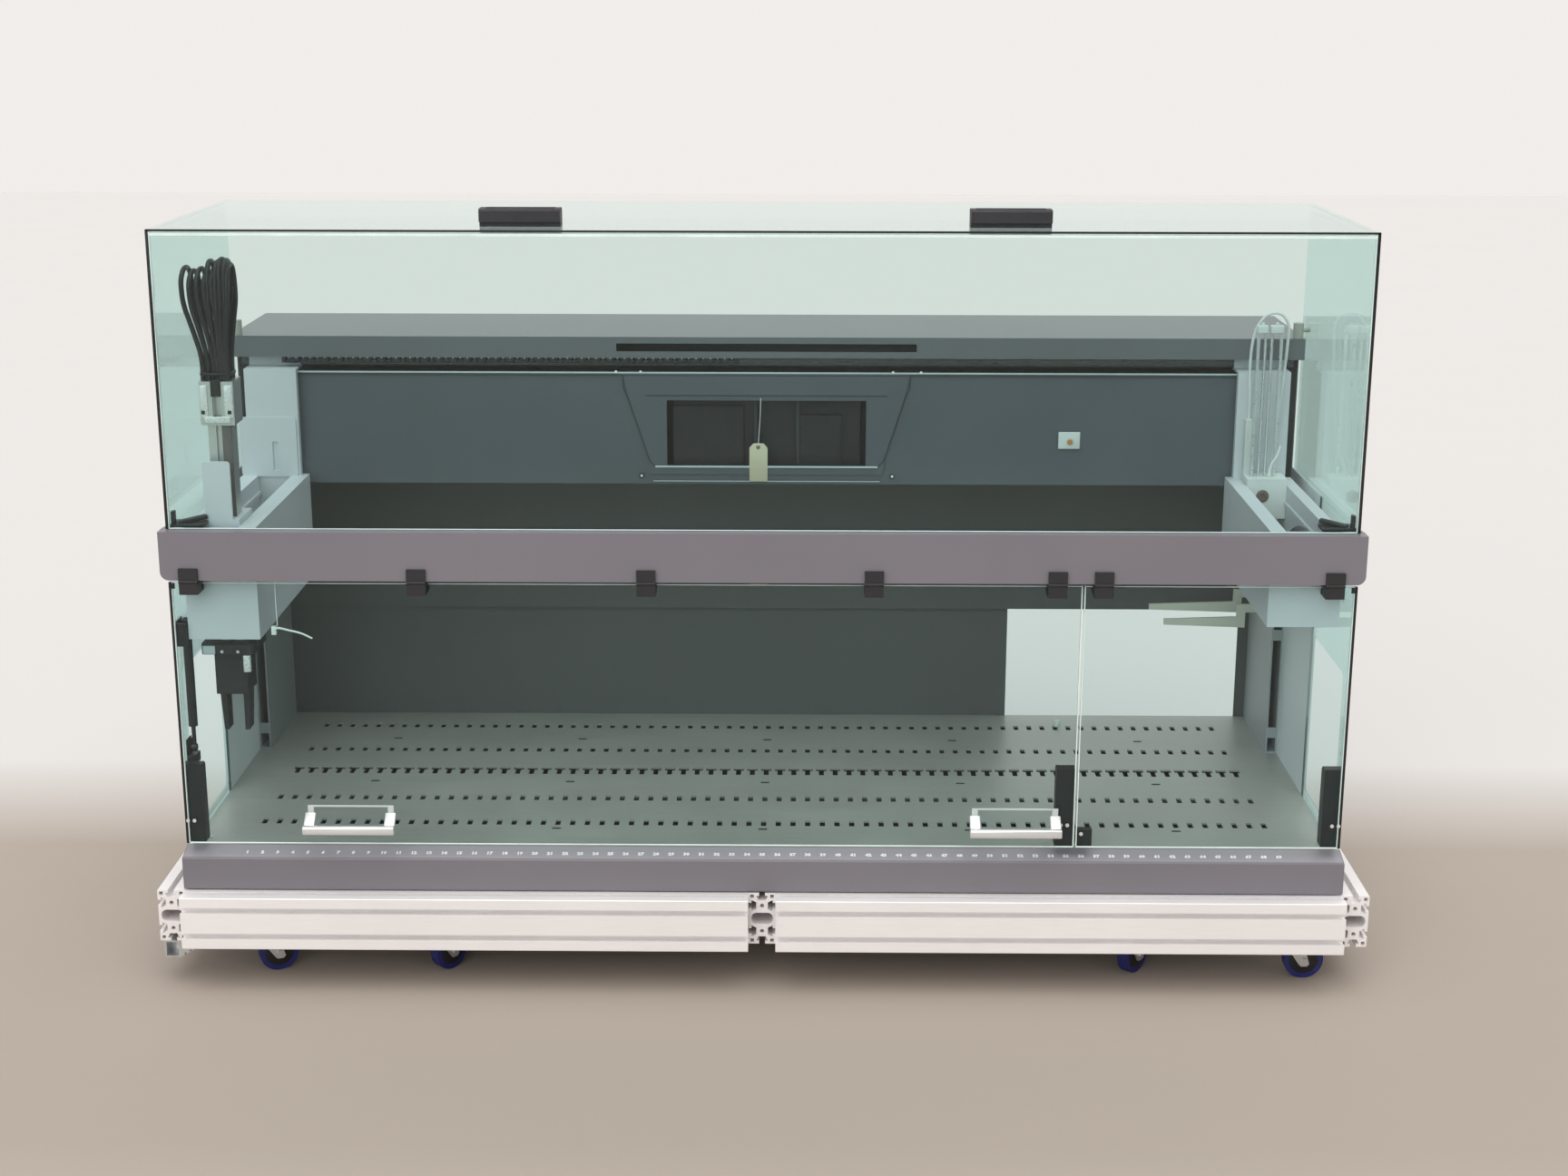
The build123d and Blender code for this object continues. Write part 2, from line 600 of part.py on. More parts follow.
def rear_panel():
    """Rear wall with the loading opening and a folded ledge above it."""
    half = PANEL_INNER
    wall = panel_xz(-half, half, DECK_TOP, BEAM_BOTTOM, PANEL_BACK, DECK_BACK)
    ledge_z = DECK_TOP + LEDGE_BOTTOM
    wall -= block(LOADING_LEFT, LOADING_RIGHT, PANEL_BACK - 1, DECK_BACK + 1, DECK_TOP - 1, ledge_z)
    ledge_half = PANEL_INNER - POST_WIDTH - 1
    wall += block(-ledge_half, ledge_half, PANEL_BACK - LEDGE_DEPTH, PANEL_BACK, ledge_z, ledge_z + LEDGE_HEIGHT)
    return wall


def cable_support_arms():
    """Two cranked flat bars cantilevered from the right post."""
    arms = []
    root = PANEL_INNER - POST_WIDTH
    for length, setback, height in zip(SUPPORT_LENGTHS, SUPPORT_SETBACKS, SUPPORT_HEIGHTS):
        low = DECK_TOP + height
        y = DECK_BACK - setback
        bend = root - SUPPORT_RISE
        high = low + SUPPORT_RISE
        outline = make_face(Polyline(
            (root - length, low), (bend, low - SUPPORT_TAPER), (bend, high - SUPPORT_BAR),
            (root, high - SUPPORT_BAR), (root, high), (bend - SUPPORT_BAR, high),
            (bend - SUPPORT_BAR, low + SUPPORT_BAR), (root - length, low + SUPPORT_BAR - SUPPORT_TAPER), close=True))
        arms.append(along_y(outline, y, y + SUPPORT_THICKNESS))
    return group(arms)


# --- beam --------------------------------------------------------------------------------

def beam_body():
    """Hollow core of the beam."""
    half = BEAM_LENGTH / 2
    top = BEAM_TOP - BEAM_COVER
    core = block(-half, half, CORE_FRONT, BEAM_BACK, BEAM_BOTTOM, top)
    return core - block(-half - 1, half + 1, CORE_FRONT + BEAM_WALL, BEAM_BACK - BEAM_WALL,
                        BEAM_BOTTOM + BEAM_WALL, top - BEAM_WALL)


def beam_top_cover():
    """Folded top cover with a recess along the middle of its front band."""
    half = BEAM_LENGTH / 2
    chain = [(BEAM_FRONT, BAND_BOTTOM), (BEAM_FRONT, BEAM_TOP), (BEAM_BACK, BEAM_TOP)]
    cover = along_x(folded_sheet(list(reversed(chain)), BEAM_COVER), -half, half)
    end = make_face(Polyline(
        (BEAM_FRONT, BEAM_TOP), (BEAM_FRONT, BAND_BOTTOM), (CORE_FRONT, BAND_BOTTOM), (CORE_FRONT, BEAM_BOTTOM),
        (BEAM_BACK, BEAM_BOTTOM), (BEAM_BACK, BEAM_TOP), close=True))
    cover += along_x(end, half, half + BEAM_COVER) + along_x(end, -half - BEAM_COVER, -half)
    middle = (BAND_BOTTOM + BEAM_TOP) / 2
    return cover - block(-BAND_RECESS[0] / 2, BAND_RECESS[0] / 2, BEAM_FRONT - 1, BEAM_FRONT + BEAM_COVER + 1,
                         middle - BAND_RECESS[1] / 2, middle + BAND_RECESS[1] / 2)


def beam_front_cover():
    """Folded front cover with the flared service bay."""
    half = COVER_LENGTH / 2
    chain = [(BEAM_FRONT + COVER_RETURN, COVER_TOP), (BEAM_FRONT, COVER_TOP), (BEAM_FRONT, BEAM_BOTTOM),
             (CORE_FRONT, BEAM_BOTTOM)]
    cover = along_x(folded_sheet(chain, BEAM_COVER), -half, half)
    low = BEAM_BOTTOM + BAY_BOTTOM
    high = COVER_TOP - BEAM_COVER
    flare = low + SERVICE_BOTTOM
    bay = make_face(Polyline(
        (-BAY_BOTTOM_WIDTH / 2, low), (BAY_BOTTOM_WIDTH / 2, low), (BAY_BOTTOM_WIDTH / 2 + 4, flare),
        (BAY_TOP_WIDTH / 2 - BAY_CORNER / 2, high - 2 * BAY_CORNER), (BAY_TOP_WIDTH / 2, high),
        (-BAY_TOP_WIDTH / 2, high), (-BAY_TOP_WIDTH / 2 + BAY_CORNER / 2, high - 2 * BAY_CORNER),
        (-BAY_BOTTOM_WIDTH / 2 - 4, flare), close=True))
    cover += along_y(bay, BEAM_FRONT - BAY_THICKNESS, BEAM_FRONT)
    sill = BEAM_BOTTOM + SERVICE_BOTTOM
    return cover - block(-SERVICE_WIDTH / 2, SERVICE_WIDTH / 2, BEAM_FRONT - BAY_THICKNESS - 1,
                         BEAM_FRONT + BEAM_COVER + 1, sill, sill + SERVICE_HEIGHT)


def x_guide_rail():
    """Guide bar with its spacer, along the front of the beam core."""
    half = BEAM_LENGTH / 2 - GUIDE_MARGIN
    rail = block(-half, half, GUIDE_FRONT, GUIDE_FRONT + GUIDE_SIZE, GUIDE_BOTTOM, GUIDE_BOTTOM + GUIDE_SIZE)
    middle = GUIDE_BOTTOM + GUIDE_SIZE / 2
    return rail + block(-half, half, GUIDE_FRONT + GUIDE_SIZE, CORE_FRONT, middle - GUIDE_SPACER,
                        middle + GUIDE_SPACER)


def cable_chain():
    """Link chain lying in the slot behind the top cover's band."""
    front = BEAM_FRONT + BEAM_COVER + CHAIN_SEAT
    top = BAND_BOTTOM + CHAIN_WALL
    length = CHAIN_LINKS * CHAIN_PITCH
    middle = CHAIN_LEFT + length / 2
    outline = Pos(middle, top - CHAIN_HEIGHT / 2) * Rectangle(length, CHAIN_HEIGHT)
    opening = CHAIN_HEIGHT - 2 * CHAIN_WALL
    wires = []
    for i in range(CHAIN_LINKS):
        x = CHAIN_LEFT + (i + 0.5) * CHAIN_PITCH
        hole = Pos(x, top - CHAIN_HEIGHT / 2) * Rectangle(CHAIN_PITCH / 2, opening)
        wires.append(hole.face().outer_wire())
    return along_y(outline.face().make_holes(wires), front, front + CHAIN_DEPTH)


def control_module():
    """Connector panel behind the service opening, stepped in depth."""
    back = CORE_FRONT
    front = back - BEAM_CORE_SETBACK + BEAM_COVER + MODULE_STEP
    low = BEAM_BOTTOM + BEAM_COVER
    half = MODULE_WIDTH / 2
    high = low + SERVICE_BOTTOM + SERVICE_HEIGHT
    module = block(-half, half, front + MODULE_STEP / 2, back, low, high)
    module += block(-half, -half / 4, front, back, low, high - MODULE_STEP)
    return module + block(half / 3, half * 0.8, front, back, low, high - 2 * MODULE_STEP)


# --- fascia and hinges -------------------------------------------------------------------

def fascia():
    """Channel-section fascia with rounded lower corners and side ears on the windows."""
    half = PANEL_OUTER + FASCIA_OVERHANG
    chain = [(FASCIA_FRONT + FASCIA_TOP_RETURN, FASCIA_TOP), (FASCIA_FRONT, FASCIA_TOP),
             (FASCIA_FRONT, FASCIA_BOTTOM), (FASCIA_FRONT + FASCIA_BOTTOM_RETURN, FASCIA_BOTTOM)]
    body = along_x(folded_sheet(chain, FASCIA_SHEET), -half, half)
    low = FASCIA_BOTTOM - 1
    corner = FASCIA_RADIUS
    mask = block(half - corner, half + 1, FASCIA_FRONT - 1, FASCIA_FRONT + FASCIA_TOP_RETURN + 1,
                 low, low + 1 + corner)
    mask -= Pos(half - corner, FASCIA_FRONT + corner, FASCIA_BOTTOM + corner) * Rot(90, 0, 0) * \
        Cylinder(corner, 4 * corner + 2 * FASCIA_TOP_RETURN)
    body -= mask
    body -= mirror(mask, about=Plane.YZ)
    top = FASCIA_TOP
    ear_outline = make_face(Polyline(
        (FASCIA_FRONT, top), (FASCIA_FRONT, FASCIA_BOTTOM + corner), (FASCIA_FRONT + corner, FASCIA_BOTTOM + corner),
        (FASCIA_FRONT + FASCIA_EAR, PANEL_TOP - corner), (FASCIA_FRONT + FASCIA_EAR, PANEL_TOP),
        (FASCIA_FRONT + FASCIA_TOP_RETURN, top), close=True))
    for ear in mirrored(along_x(ear_outline, PANEL_OUTER, half)):
        body += ear
    return body


def fixed_clip(x):
    """Upper half of a hinge clip with two ears and the pin."""
    half = CLIP_WIDTH / 2
    front = FASCIA_FRONT - CLIP_THICKNESS
    low = HINGE_Z + KNUCKLE_RADIUS + KNUCKLE_GAP
    plate = block(x - half, x + half, front, FASCIA_FRONT, low, low + CLIP_HEIGHT)
    pin = cross_cylinder(x - half, x + half, HINGE_Y, HINGE_Z, PIN_RADIUS)
    clip = plate + pin
    for x0 in (x - half, x + half - EAR_WIDTH):
        clip += cross_cylinder(x0, x0 + EAR_WIDTH, HINGE_Y, HINGE_Z, KNUCKLE_RADIUS)
        clip += block(x0, x0 + EAR_WIDTH, front, front + 2, HINGE_Z, low + 1)
    return clip


def door_clip(x):
    """Lower half of a hinge clip: a knuckle on the pin and two jaws on the glass."""
    half = CLIP_WIDTH / 2
    inner = half - EAR_WIDTH - KNUCKLE_GAP
    top = HINGE_Z - KNUCKLE_RADIUS - KNUCKLE_GAP
    front = HINGE_Y - 0.5
    jaws = block(x - half, x + half, front, GLASS_BACK + CLIP_JAW, top - CLIP_HEIGHT, top)
    jaws -= block(x - half - 1, x + half + 1, GLASS_FRONT, GLASS_BACK, top - CLIP_HEIGHT - 1, DOOR_TOP)
    knuckle = cross_cylinder(x - inner, x + inner, HINGE_Y, HINGE_Z, KNUCKLE_RADIUS)
    knuckle += block(x - inner, x + inner, front, HINGE_Y + KNUCKLE_RADIUS, top - 1, HINGE_Z)
    bore = cross_cylinder(x - half, x + half, HINGE_Y, HINGE_Z, PIN_RADIUS + RUNNING_CLEARANCE)
    return jaws + (knuckle - bore)


def hinge_clips_fixed():
    """Upper halves of all hinge clips."""
    return group([fixed_clip(x) for x in LEFT_CLIP_XS + RIGHT_CLIP_XS])


# --- doors -------------------------------------------------------------------------------

def door_glass(x0, x1):
    """Door sheet."""
    return panel_xz(x0, x1, DOOR_Z, DOOR_TOP, GLASS_FRONT, GLASS_BACK, 2)


def lock_housing(x0, width, depth, height):
    """Lock housing behind the glass, with a sloped top."""
    base = DOOR_Z + 1
    outline = make_face(Polyline(
        (GLASS_BACK, base), (GLASS_BACK + depth, base), (GLASS_BACK + depth, base + height - LOCK_TAPER),
        (GLASS_BACK + depth - LOCK_TAPER, base + height), (GLASS_BACK, base + height), close=True))
    return along_x(outline, x0, x0 + width)


def door_handle(x):
    """Round-cornered pull bar on two end brackets."""
    deep, tall = HANDLE_BAR
    middle = DECK_TOP + HANDLE_HEIGHT
    front = GLASS_FRONT - HANDLE_STANDOUT
    half = HANDLE_LENGTH / 2
    bar = Pos(x, front + deep / 2, middle) * extrude(
        Plane.YZ * RectangleRounded(deep, tall, deep / 3), half, both=True)
    for x0 in (x - half, x + half - HANDLE_BRACKET):
        bar += block(x0, x0 + HANDLE_BRACKET, front + deep / 2, GLASS_FRONT, middle - tall / 4, middle + tall / 2)
    return bar


def spring_top_bracket():
    """Bracket behind the wide door's glass, beside the gas spring's upper eye."""
    x0 = -DOOR_HALF_WIDTH + 1
    x1 = SPRING_X - SPRING_BARREL_RADIUS - STUD_GAP
    wide, thick, tall = BRACKET_PAD
    z = DECK_TOP + SPRING_FOOT_HEIGHT + SPRING_LENGTH
    reach = SPRING_EYE_RADIUS
    pad = block(x0, x0 + wide, GLASS_BACK, GLASS_BACK + thick, z + reach - tall, z + reach)
    return pad + block(x0, x1, GLASS_BACK, SPRING_Y + reach, z - reach, z + reach)


def door_left_fittings():
    """Hinge clips, lock housings and gas spring bracket of the wide door."""
    width, depth, height = LOCK_SIZE
    left = -DOOR_HALF_WIDTH + 1
    right = DOOR_SPLIT - DOOR_GAP / 2 - 1 - width
    housings = [lock_housing(x, width, depth, height) for x in (left, right)]
    return group([door_clip(x) for x in LEFT_CLIP_XS] + housings + [spring_top_bracket()])


def door_right_fittings():
    """Hinge clips, lock housing and keeper of the narrow door."""
    width, depth, height = LOCK_SIZE
    housing = lock_housing(DOOR_HALF_WIDTH - 1 - width, width, depth, height)
    keeper = lock_housing(DOOR_SPLIT + DOOR_GAP / 2 + 1, *KEEPER_SIZE)
    return group([door_clip(x) for x in RIGHT_CLIP_XS] + [housing, keeper])


def gas_spring_anchor():
    """Lower block of the gas spring on the left window sheet."""
    long, tall = ANCHOR_SIZE
    x1 = SPRING_X - SPRING_EYE_THICKNESS / 2 - STUD_RADIUS
    z = DECK_TOP + SPRING_FOOT_HEIGHT
    anchor = panel_yz(-PANEL_INNER, x1, SPRING_Y - 10, SPRING_Y - 10 + long, z - tall / 2, z + tall / 2, 3)
    bore = cross_cylinder(x1 - 3, x1 + 1, SPRING_Y, z, STUD_RADIUS + RUNNING_CLEARANCE)
    return anchor - bore


def gas_spring_rod():
    """Rod with its lower eye and stud."""
    z = DECK_TOP + SPRING_FOOT_HEIGHT
    half = SPRING_EYE_THICKNESS / 2
    eye = cross_cylinder(SPRING_X - half, SPRING_X + half, SPRING_Y, z, SPRING_EYE_RADIUS)
    stud = cross_cylinder(SPRING_X - half - STUD_RADIUS - 2, SPRING_X - half, SPRING_Y, z, STUD_RADIUS)
    top = z + SPRING_LENGTH - SPRING_BARREL_RADIUS * 3
    rod = tall_cylinder(SPRING_X, SPRING_Y, z, top, SPRING_ROD_RADIUS)
    return eye + stud + rod


def gas_spring_barrel():
    """Barrel with its upper eye, bored for the rod."""
    z = DECK_TOP + SPRING_FOOT_HEIGHT + SPRING_LENGTH
    half = SPRING_EYE_THICKNESS / 2
    top = z - SPRING_EYE_RADIUS
    barrel = tall_cylinder(SPRING_X, SPRING_Y, top - SPRING_BARREL_LENGTH, top, SPRING_BARREL_RADIUS)
    neck = tall_cylinder(SPRING_X, SPRING_Y, top - 1, z, SPRING_ROD_RADIUS)
    eye = cross_cylinder(SPRING_X - half, SPRING_X + half, SPRING_Y, z, SPRING_EYE_RADIUS)
    stud = cross_cylinder(SPRING_X - SPRING_BARREL_RADIUS, SPRING_X - half, SPRING_Y, z, STUD_RADIUS)
    bore = tall_cylinder(SPRING_X, SPRING_Y, top - SPRING_BARREL_LENGTH - 1,
                         z - SPRING_BARREL_RADIUS * 2, SPRING_ROD_RADIUS + RUNNING_CLEARANCE)
    return barrel + neck + eye + stud - bore


# --- hood --------------------------------------------------------------------------------

def hood_panels():
    """Front, top and side sheets; the sides are bored for the pivots."""
    half = HOOD_HALF_WIDTH
    front = panel_xz(-half, half, HOOD_BOTTOM, HOOD_TOP - GLASS, GLASS_FRONT, GLASS_BACK)
    top = block(-half, half, GLASS_FRONT, HOOD_BACK, HOOD_TOP - GLASS, HOOD_TOP)
    side = panel_yz(half - GLASS, half, GLASS_BACK, HOOD_BACK, HOOD_BOTTOM, HOOD_TOP - GLASS)
    side -= cross_cylinder(half - GLASS - 1, half + 1, PIVOT_Y, PIVOT_Z, PIVOT_PIN_RADIUS + RUNNING_CLEARANCE)
    return group([front, top] + mirrored(side))


def hood_handles():
    """Two hand grips on the hood's top, undercut along their front."""
    wide, deep, tall = HOOD_HANDLE
    y = GLASS_FRONT + HOOD_HANDLE_SETBACK
    outline = make_face(Polyline(
        (y + HOOD_HANDLE_LIP, HOOD_TOP), (y + deep, HOOD_TOP), (y + deep, HOOD_TOP + tall - 4),
        (y + deep - 4, HOOD_TOP + tall), (y + 2, HOOD_TOP + tall), (y, HOOD_TOP + tall - 3),
        (y, HOOD_TOP + HOOD_HANDLE_LIP), (y + HOOD_HANDLE_LIP, HOOD_TOP + HOOD_HANDLE_LIP), close=True))
    return group([along_x(outline, x - wide / 2, x + wide / 2) for x in HOOD_HANDLE_XS])


def hood_pivots():
    """Posts on the beam's ends with the pins that the hood turns on."""
    x = BEAM_LENGTH / 2 - PIVOT_POST_RADIUS
    post = tall_cylinder(x, PIVOT_Y, BEAM_TOP, BEAM_TOP + PIVOT_POST_HEIGHT, PIVOT_POST_RADIUS)
    pin = cross_cylinder(x, HOOD_HALF_WIDTH + 2, PIVOT_Y, PIVOT_Z, PIVOT_PIN_RADIUS)
    return group(mirrored(post + pin))


# --- arms --------------------------------------------------------------------------------

def arm_shoe(x0, x1):
    """Hook of an arm through the beam's slot, wrapped round the guide rail."""
    low = GUIDE_BOTTOM - SHOE_GAP - SHOE_WALL
    top = GUIDE_BOTTOM + GUIDE_SIZE + SHOE_GAP
    front = GUIDE_FRONT - SHOE_GAP - SHOE_WALL
    hook = block(x0, x1, ARM_BACK - ARM_BACK_PLATE, GUIDE_FRONT + GUIDE_SIZE - 1, low, low + SHOE_WALL)
    hook += block(x0, x1, front, front + SHOE_WALL, low, top + SHOE_WALL / 2)
    return hook + block(x0, x1, front, front + SHOE_LIP, top, top + SHOE_WALL / 2)


def arm_frame(x0, x1, bottom, left_rail, right_rail):
    """Two hollow-faced rails, nose and back plate of an arm, with the carriage tracks in its channel."""
    low = DECK_TOP + bottom
    back = ARM_BACK - ARM_BACK_PLATE
    frame = block(x0, x0 + left_rail, ARM_FRONT, ARM_BACK, low, ARM_TOP_Z)
    frame += block(x1 - right_rail, x1, ARM_FRONT, ARM_BACK, low, ARM_TOP_Z)
    frame += block(x0, x1, ARM_FRONT, ARM_FRONT + ARM_NOSE, low, ARM_TOP_Z)
    frame += block(x0, x1, back, ARM_BACK, low, ARM_TOP_Z)
    wide, tall = TRACK
    z = ARM_TOP_Z - TRACK_DROP
    frame += block(x0 + left_rail, x0 + left_rail + wide, ARM_FRONT, back, z, z + tall)
    frame += block(x1 - right_rail - wide, x1 - right_rail, ARM_FRONT, back, z, z + tall)
    neck_low = GUIDE_BOTTOM - SHOE_GAP - SHOE_WALL
    frame += block(x0 + SHOE_MARGIN, x1 - SHOE_MARGIN, back, ARM_BACK, ARM_TOP_Z - 1, neck_low + SHOE_WALL)
    return frame + arm_shoe(x0 + SHOE_MARGIN, x1 - SHOE_MARGIN)


def channel_block(x0, x1, y0, y1, z0, z1):
    """Carriage body that fills an arm's channel, grooved for its tracks."""
    wide, tall = TRACK
    z = ARM_TOP_Z - TRACK_DROP
    body = block(x0 + SLIDE_GAP, x1 - SLIDE_GAP, y0, y1, z0, z1)
    for edge in (x0, x1):
        body -= block(edge - wide - SLIDE_GAP, edge + wide + SLIDE_GAP, y0 - 1, y1 + 1, z - SLIDE_GAP,
                      z + tall + SLIDE_GAP)
    return body


LIQUID_CHANNEL = (ARM_INNER + LIQUID_INNER_RAIL, ARM_OUTER - LIQUID_OUTER_RAIL)
GRIPPER_CHANNEL = (-ARM_OUTER + GRIPPER_RAIL, -ARM_INNER - GRIPPER_RAIL)
LIQUID_BACK = ARM_BACK - ARM_BACK_PLATE - LIQUID_CARRIAGE_BACK_GAP
TIP_Y = LIQUID_BACK - LIQUID_CARRIAGE[0] / 2


def liquid_arm_frame():
    """Frame of the liquid arm."""
    return arm_frame(ARM_INNER, ARM_OUTER, LIQUID_BOTTOM, LIQUID_INNER_RAIL, LIQUID_OUTER_RAIL)


def liquid_arm_drive():
    """Motor at the front of the channel and the belt run beside it."""
    x0, x1 = LIQUID_CHANNEL
    y = ARM_FRONT + ARM_NOSE
    z = ARM_TOP_Z - MOTOR_RADIUS - 6
    middle = (x0 + x1) / 2
    base = block(x0 + TRACK[0] + 1, x1 - TRACK[0] - 1, y, y + MOTOR_SETBACK,
                 z - MOTOR_RADIUS, z + MOTOR_RADIUS)
    spin = Rot(90, 0, 0) * Cylinder(MOTOR_RADIUS, MOTOR_LENGTH)
    return base + Pos(middle, y + MOTOR_SETBACK + MOTOR_LENGTH / 2, z) * spin


def liquid_carriage():
    """Carriage of the liquid arm with the holes that its tips slide in, and the tubing trunk."""
    x0, x1 = LIQUID_CHANNEL
    long, tall = LIQUID_CARRIAGE
    top = ARM_TOP_Z + 12
    body = channel_block(x0, x1, LIQUID_BACK - long, LIQUID_BACK, top - tall, top)
    hole = TIP_RACK / 2 + TIP_HOLE_GAP
    for rack_x, tube_x in TIP_XS:
        y = TIP_Y
        body -= block(rack_x - hole, rack_x + hole, y - hole, y + hole, top - tall - 1, top + 1)
        body -= tall_cylinder(tube_x, y, top - tall - 1, top + 1, TIP_TUBE_RADIUS + TIP_HOLE_GAP)
    wide, deep, high = LIQUID_TRUNK
    trunk_y = LIQUID_BACK - deep
    return body + block(x0 + SLIDE_GAP, x0 + SLIDE_GAP + wide, trunk_y, LIQUID_BACK, top - 1, top + high)


def liquid_tip(rack_x, tube_x):
    """One tip: toothed rack bar and tube, joined by a cap, with a thin nozzle below."""
    top = DECK_TOP + TIP_TOP
    low = top - TIP_LENGTH
    half = TIP_RACK / 2
    rack = block(rack_x - half, rack_x + half, TIP_Y - half, TIP_Y + half, low + TIP_NOZZLE_LENGTH, top)
    tube = tall_cylinder(tube_x, TIP_Y, low + TIP_NOZZLE_LENGTH, top, TIP_TUBE_RADIUS)
    cap = block(min(rack_x, tube_x) - half, max(rack_x, tube_x) + half, TIP_Y - half - 1, TIP_Y + half + 1,
                top - TIP_CAP_HEIGHT, top)
    nozzle = Pos(tube_x, TIP_Y, low + TIP_NOZZLE_LENGTH / 2) * Cone(
        TIP_TUBE_RADIUS / 3, TIP_TUBE_RADIUS, TIP_NOZZLE_LENGTH)
    return rack + tube + cap + nozzle


def hose(points, radius, diameter_ratio=0.45):
    """Round tube along straight runs joined by arcs as large as the runs allow."""
    corners = [Vector(*p) for p in points]
    radii = []
    for before, here, after in zip(corners, corners[1:], corners[2:]):
        run = min((here - before).length, (after - here).length)
        turn = math.radians((here - before).get_angle(after - here))
        radii.append(diameter_ratio * run / math.tan(turn / 2))
    path = FilletPolyline(*corners, radius=radii)
    start = Plane(origin=path @ 0, z_dir=path % 0)
    return sweep(start * Circle(radius), path=path)


def liquid_tubing():
    """System tube from the trunk's top, over the tips, down to the carriage."""
    wide, deep, high = LIQUID_TRUNK
    x = LIQUID_CHANNEL[0] + SLIDE_GAP + wide / 2
    y = LIQUID_BACK - deep / 2
    base = ARM_TOP_Z + 12
    climb = [(0, 0), (0, 40), (-3, 85), (-2, 128), (4, 160), (21, 184), (46, 187), (61, 167), (60, 136), (57, 86),
             (53, 36), (48, -14), (44, -58)]
    route = [(x + dx, y, base + high + dz) for dx, dz in climb]
    return hose(route + [(x + climb[-1][0], y, base)], TUBING_RADIUS)


def gripper_arm_frame():
    """Frame of the gripper arm with the cover plates on its back."""
    frame = arm_frame(-ARM_OUTER, -ARM_INNER, GRIPPER_BOTTOM, GRIPPER_RAIL, GRIPPER_RAIL)
    back = ARM_BACK - ARM_BACK_PLATE
    front = back - COVER_PLATE_THICKNESS
    plate = Pos((-ARM_OUTER - ARM_INNER) / 2 - 8, ARM_TOP_Z + COVER_PLATE_HEIGHT / 2 - 1) * \
        RectangleRounded(ARM_WIDTH - 16, COVER_PLATE_HEIGHT + 2, 8)
    plate -= Pos(-ARM_INNER - GRIPPER_RAIL - 26, ARM_TOP_Z + COVER_PLATE_HEIGHT / 3) * \
        Rectangle(10, COVER_PLATE_HEIGHT / 2)
    return frame + along_y(plate, front, back + 1)


def gripper_carriage():
    """Carriage of the gripper arm, open in the middle for the column."""
    long, tall = CARRIAGE_SIZE
    y0 = COLUMN_Y - long / 2
    top = ARM_TOP_Z + 10
    body = channel_block(*GRIPPER_CHANNEL, y0, y0 + long, top - tall, top)
    half_x = COLUMN_SIZE[0] / 2 + SLIDE_GAP
    half_y = COLUMN_SIZE[1] / 2 + SLIDE_GAP
    wide, thick, high = CARRIAGE_PLATE
    plate = panel_xz(COLUMN_X - wide / 2 - 4, COLUMN_X + wide / 2 - 4, top - 1, top + high, y0, y0 + thick, 6)
    plate += block(COLUMN_X - wide / 2 - 4, COLUMN_X + wide / 2 - 4, y0, y0 + thick, top - 2, top + 8)
    return body + plate - block(COLUMN_X - half_x, COLUMN_X + half_x, COLUMN_Y - half_y, COLUMN_Y + half_y,
                                top - tall - 1, top + 1)


def gripper_column():
    """Upright column with grooves, and the cable clamp at its top."""
    low = DECK_TOP + COLUMN_BOTTOM
    top = low + COLUMN_HEIGHT
    outline = Rectangle(*COLUMN_SIZE)
    groove_wide, groove_deep = COLUMN_GROOVE
    for side in (-1, 1):
        outline -= Pos(0, side * COLUMN_SIZE[1] / 2) * Rectangle(groove_wide, 2 * groove_deep)
    column = Pos(COLUMN_X, COLUMN_Y, low) * extrude(outline, COLUMN_HEIGHT)
    column += tall_cylinder(COLUMN_X, COLUMN_Y, low - HEAD_SIZE[2], low + COLUMN_GROOVE[1], SWIVEL_RADIUS)
    wide, deep, tall = CLAMP_SIZE
    clamp = block(COLUMN_X - wide / 2, COLUMN_X + wide / 2, COLUMN_Y - deep / 2, COLUMN_Y + deep / 2,
                  top - tall, top)
    half_x = COLUMN_SIZE[0] / 2 + RUNNING_CLEARANCE
    half_y = COLUMN_SIZE[1] / 2 + RUNNING_CLEARANCE
    clamp -= block(COLUMN_X - half_x, COLUMN_X + half_x, COLUMN_Y - half_y, COLUMN_Y + half_y,
                   top - tall - 1, top + 1)
    slot_wide, slot_deep, slot_rise = CLAMP_SLOT
    clamp -= block(COLUMN_X - slot_wide / 2, COLUMN_X + slot_wide / 2, COLUMN_Y - deep / 2 - 1,
                   COLUMN_Y - deep / 2 + slot_deep, top - tall + slot_rise, top + 1)
    return group([column, clamp])


def gripper_cables():
    """Cables that loop over from the front to the back of the column's clamp."""
    top = DECK_TOP + COLUMN_BOTTOM + COLUMN_HEIGHT
    loops = []
    for start, spread, drop in CABLE_LOOPS:
        climb = [(start, -14, 0), (start, -14, 38), ((start + spread) / 2, -19, 82), (spread, -27, 124),
                 (spread - 1, -28, 160), (spread, -11, 177), (spread + 1, 12, 177), (spread + 1, 29, 161),
                 (spread, 28, 125), ((start + spread) / 2, 20, 83), (start, 14, 38), (start, 14, 0)]
        route = [(COLUMN_X + x, COLUMN_Y + y, top + z * (1 - drop)) for x, y, z in climb]
        loops.append(hose(route, CABLE_RADIUS))
    return group(loops)


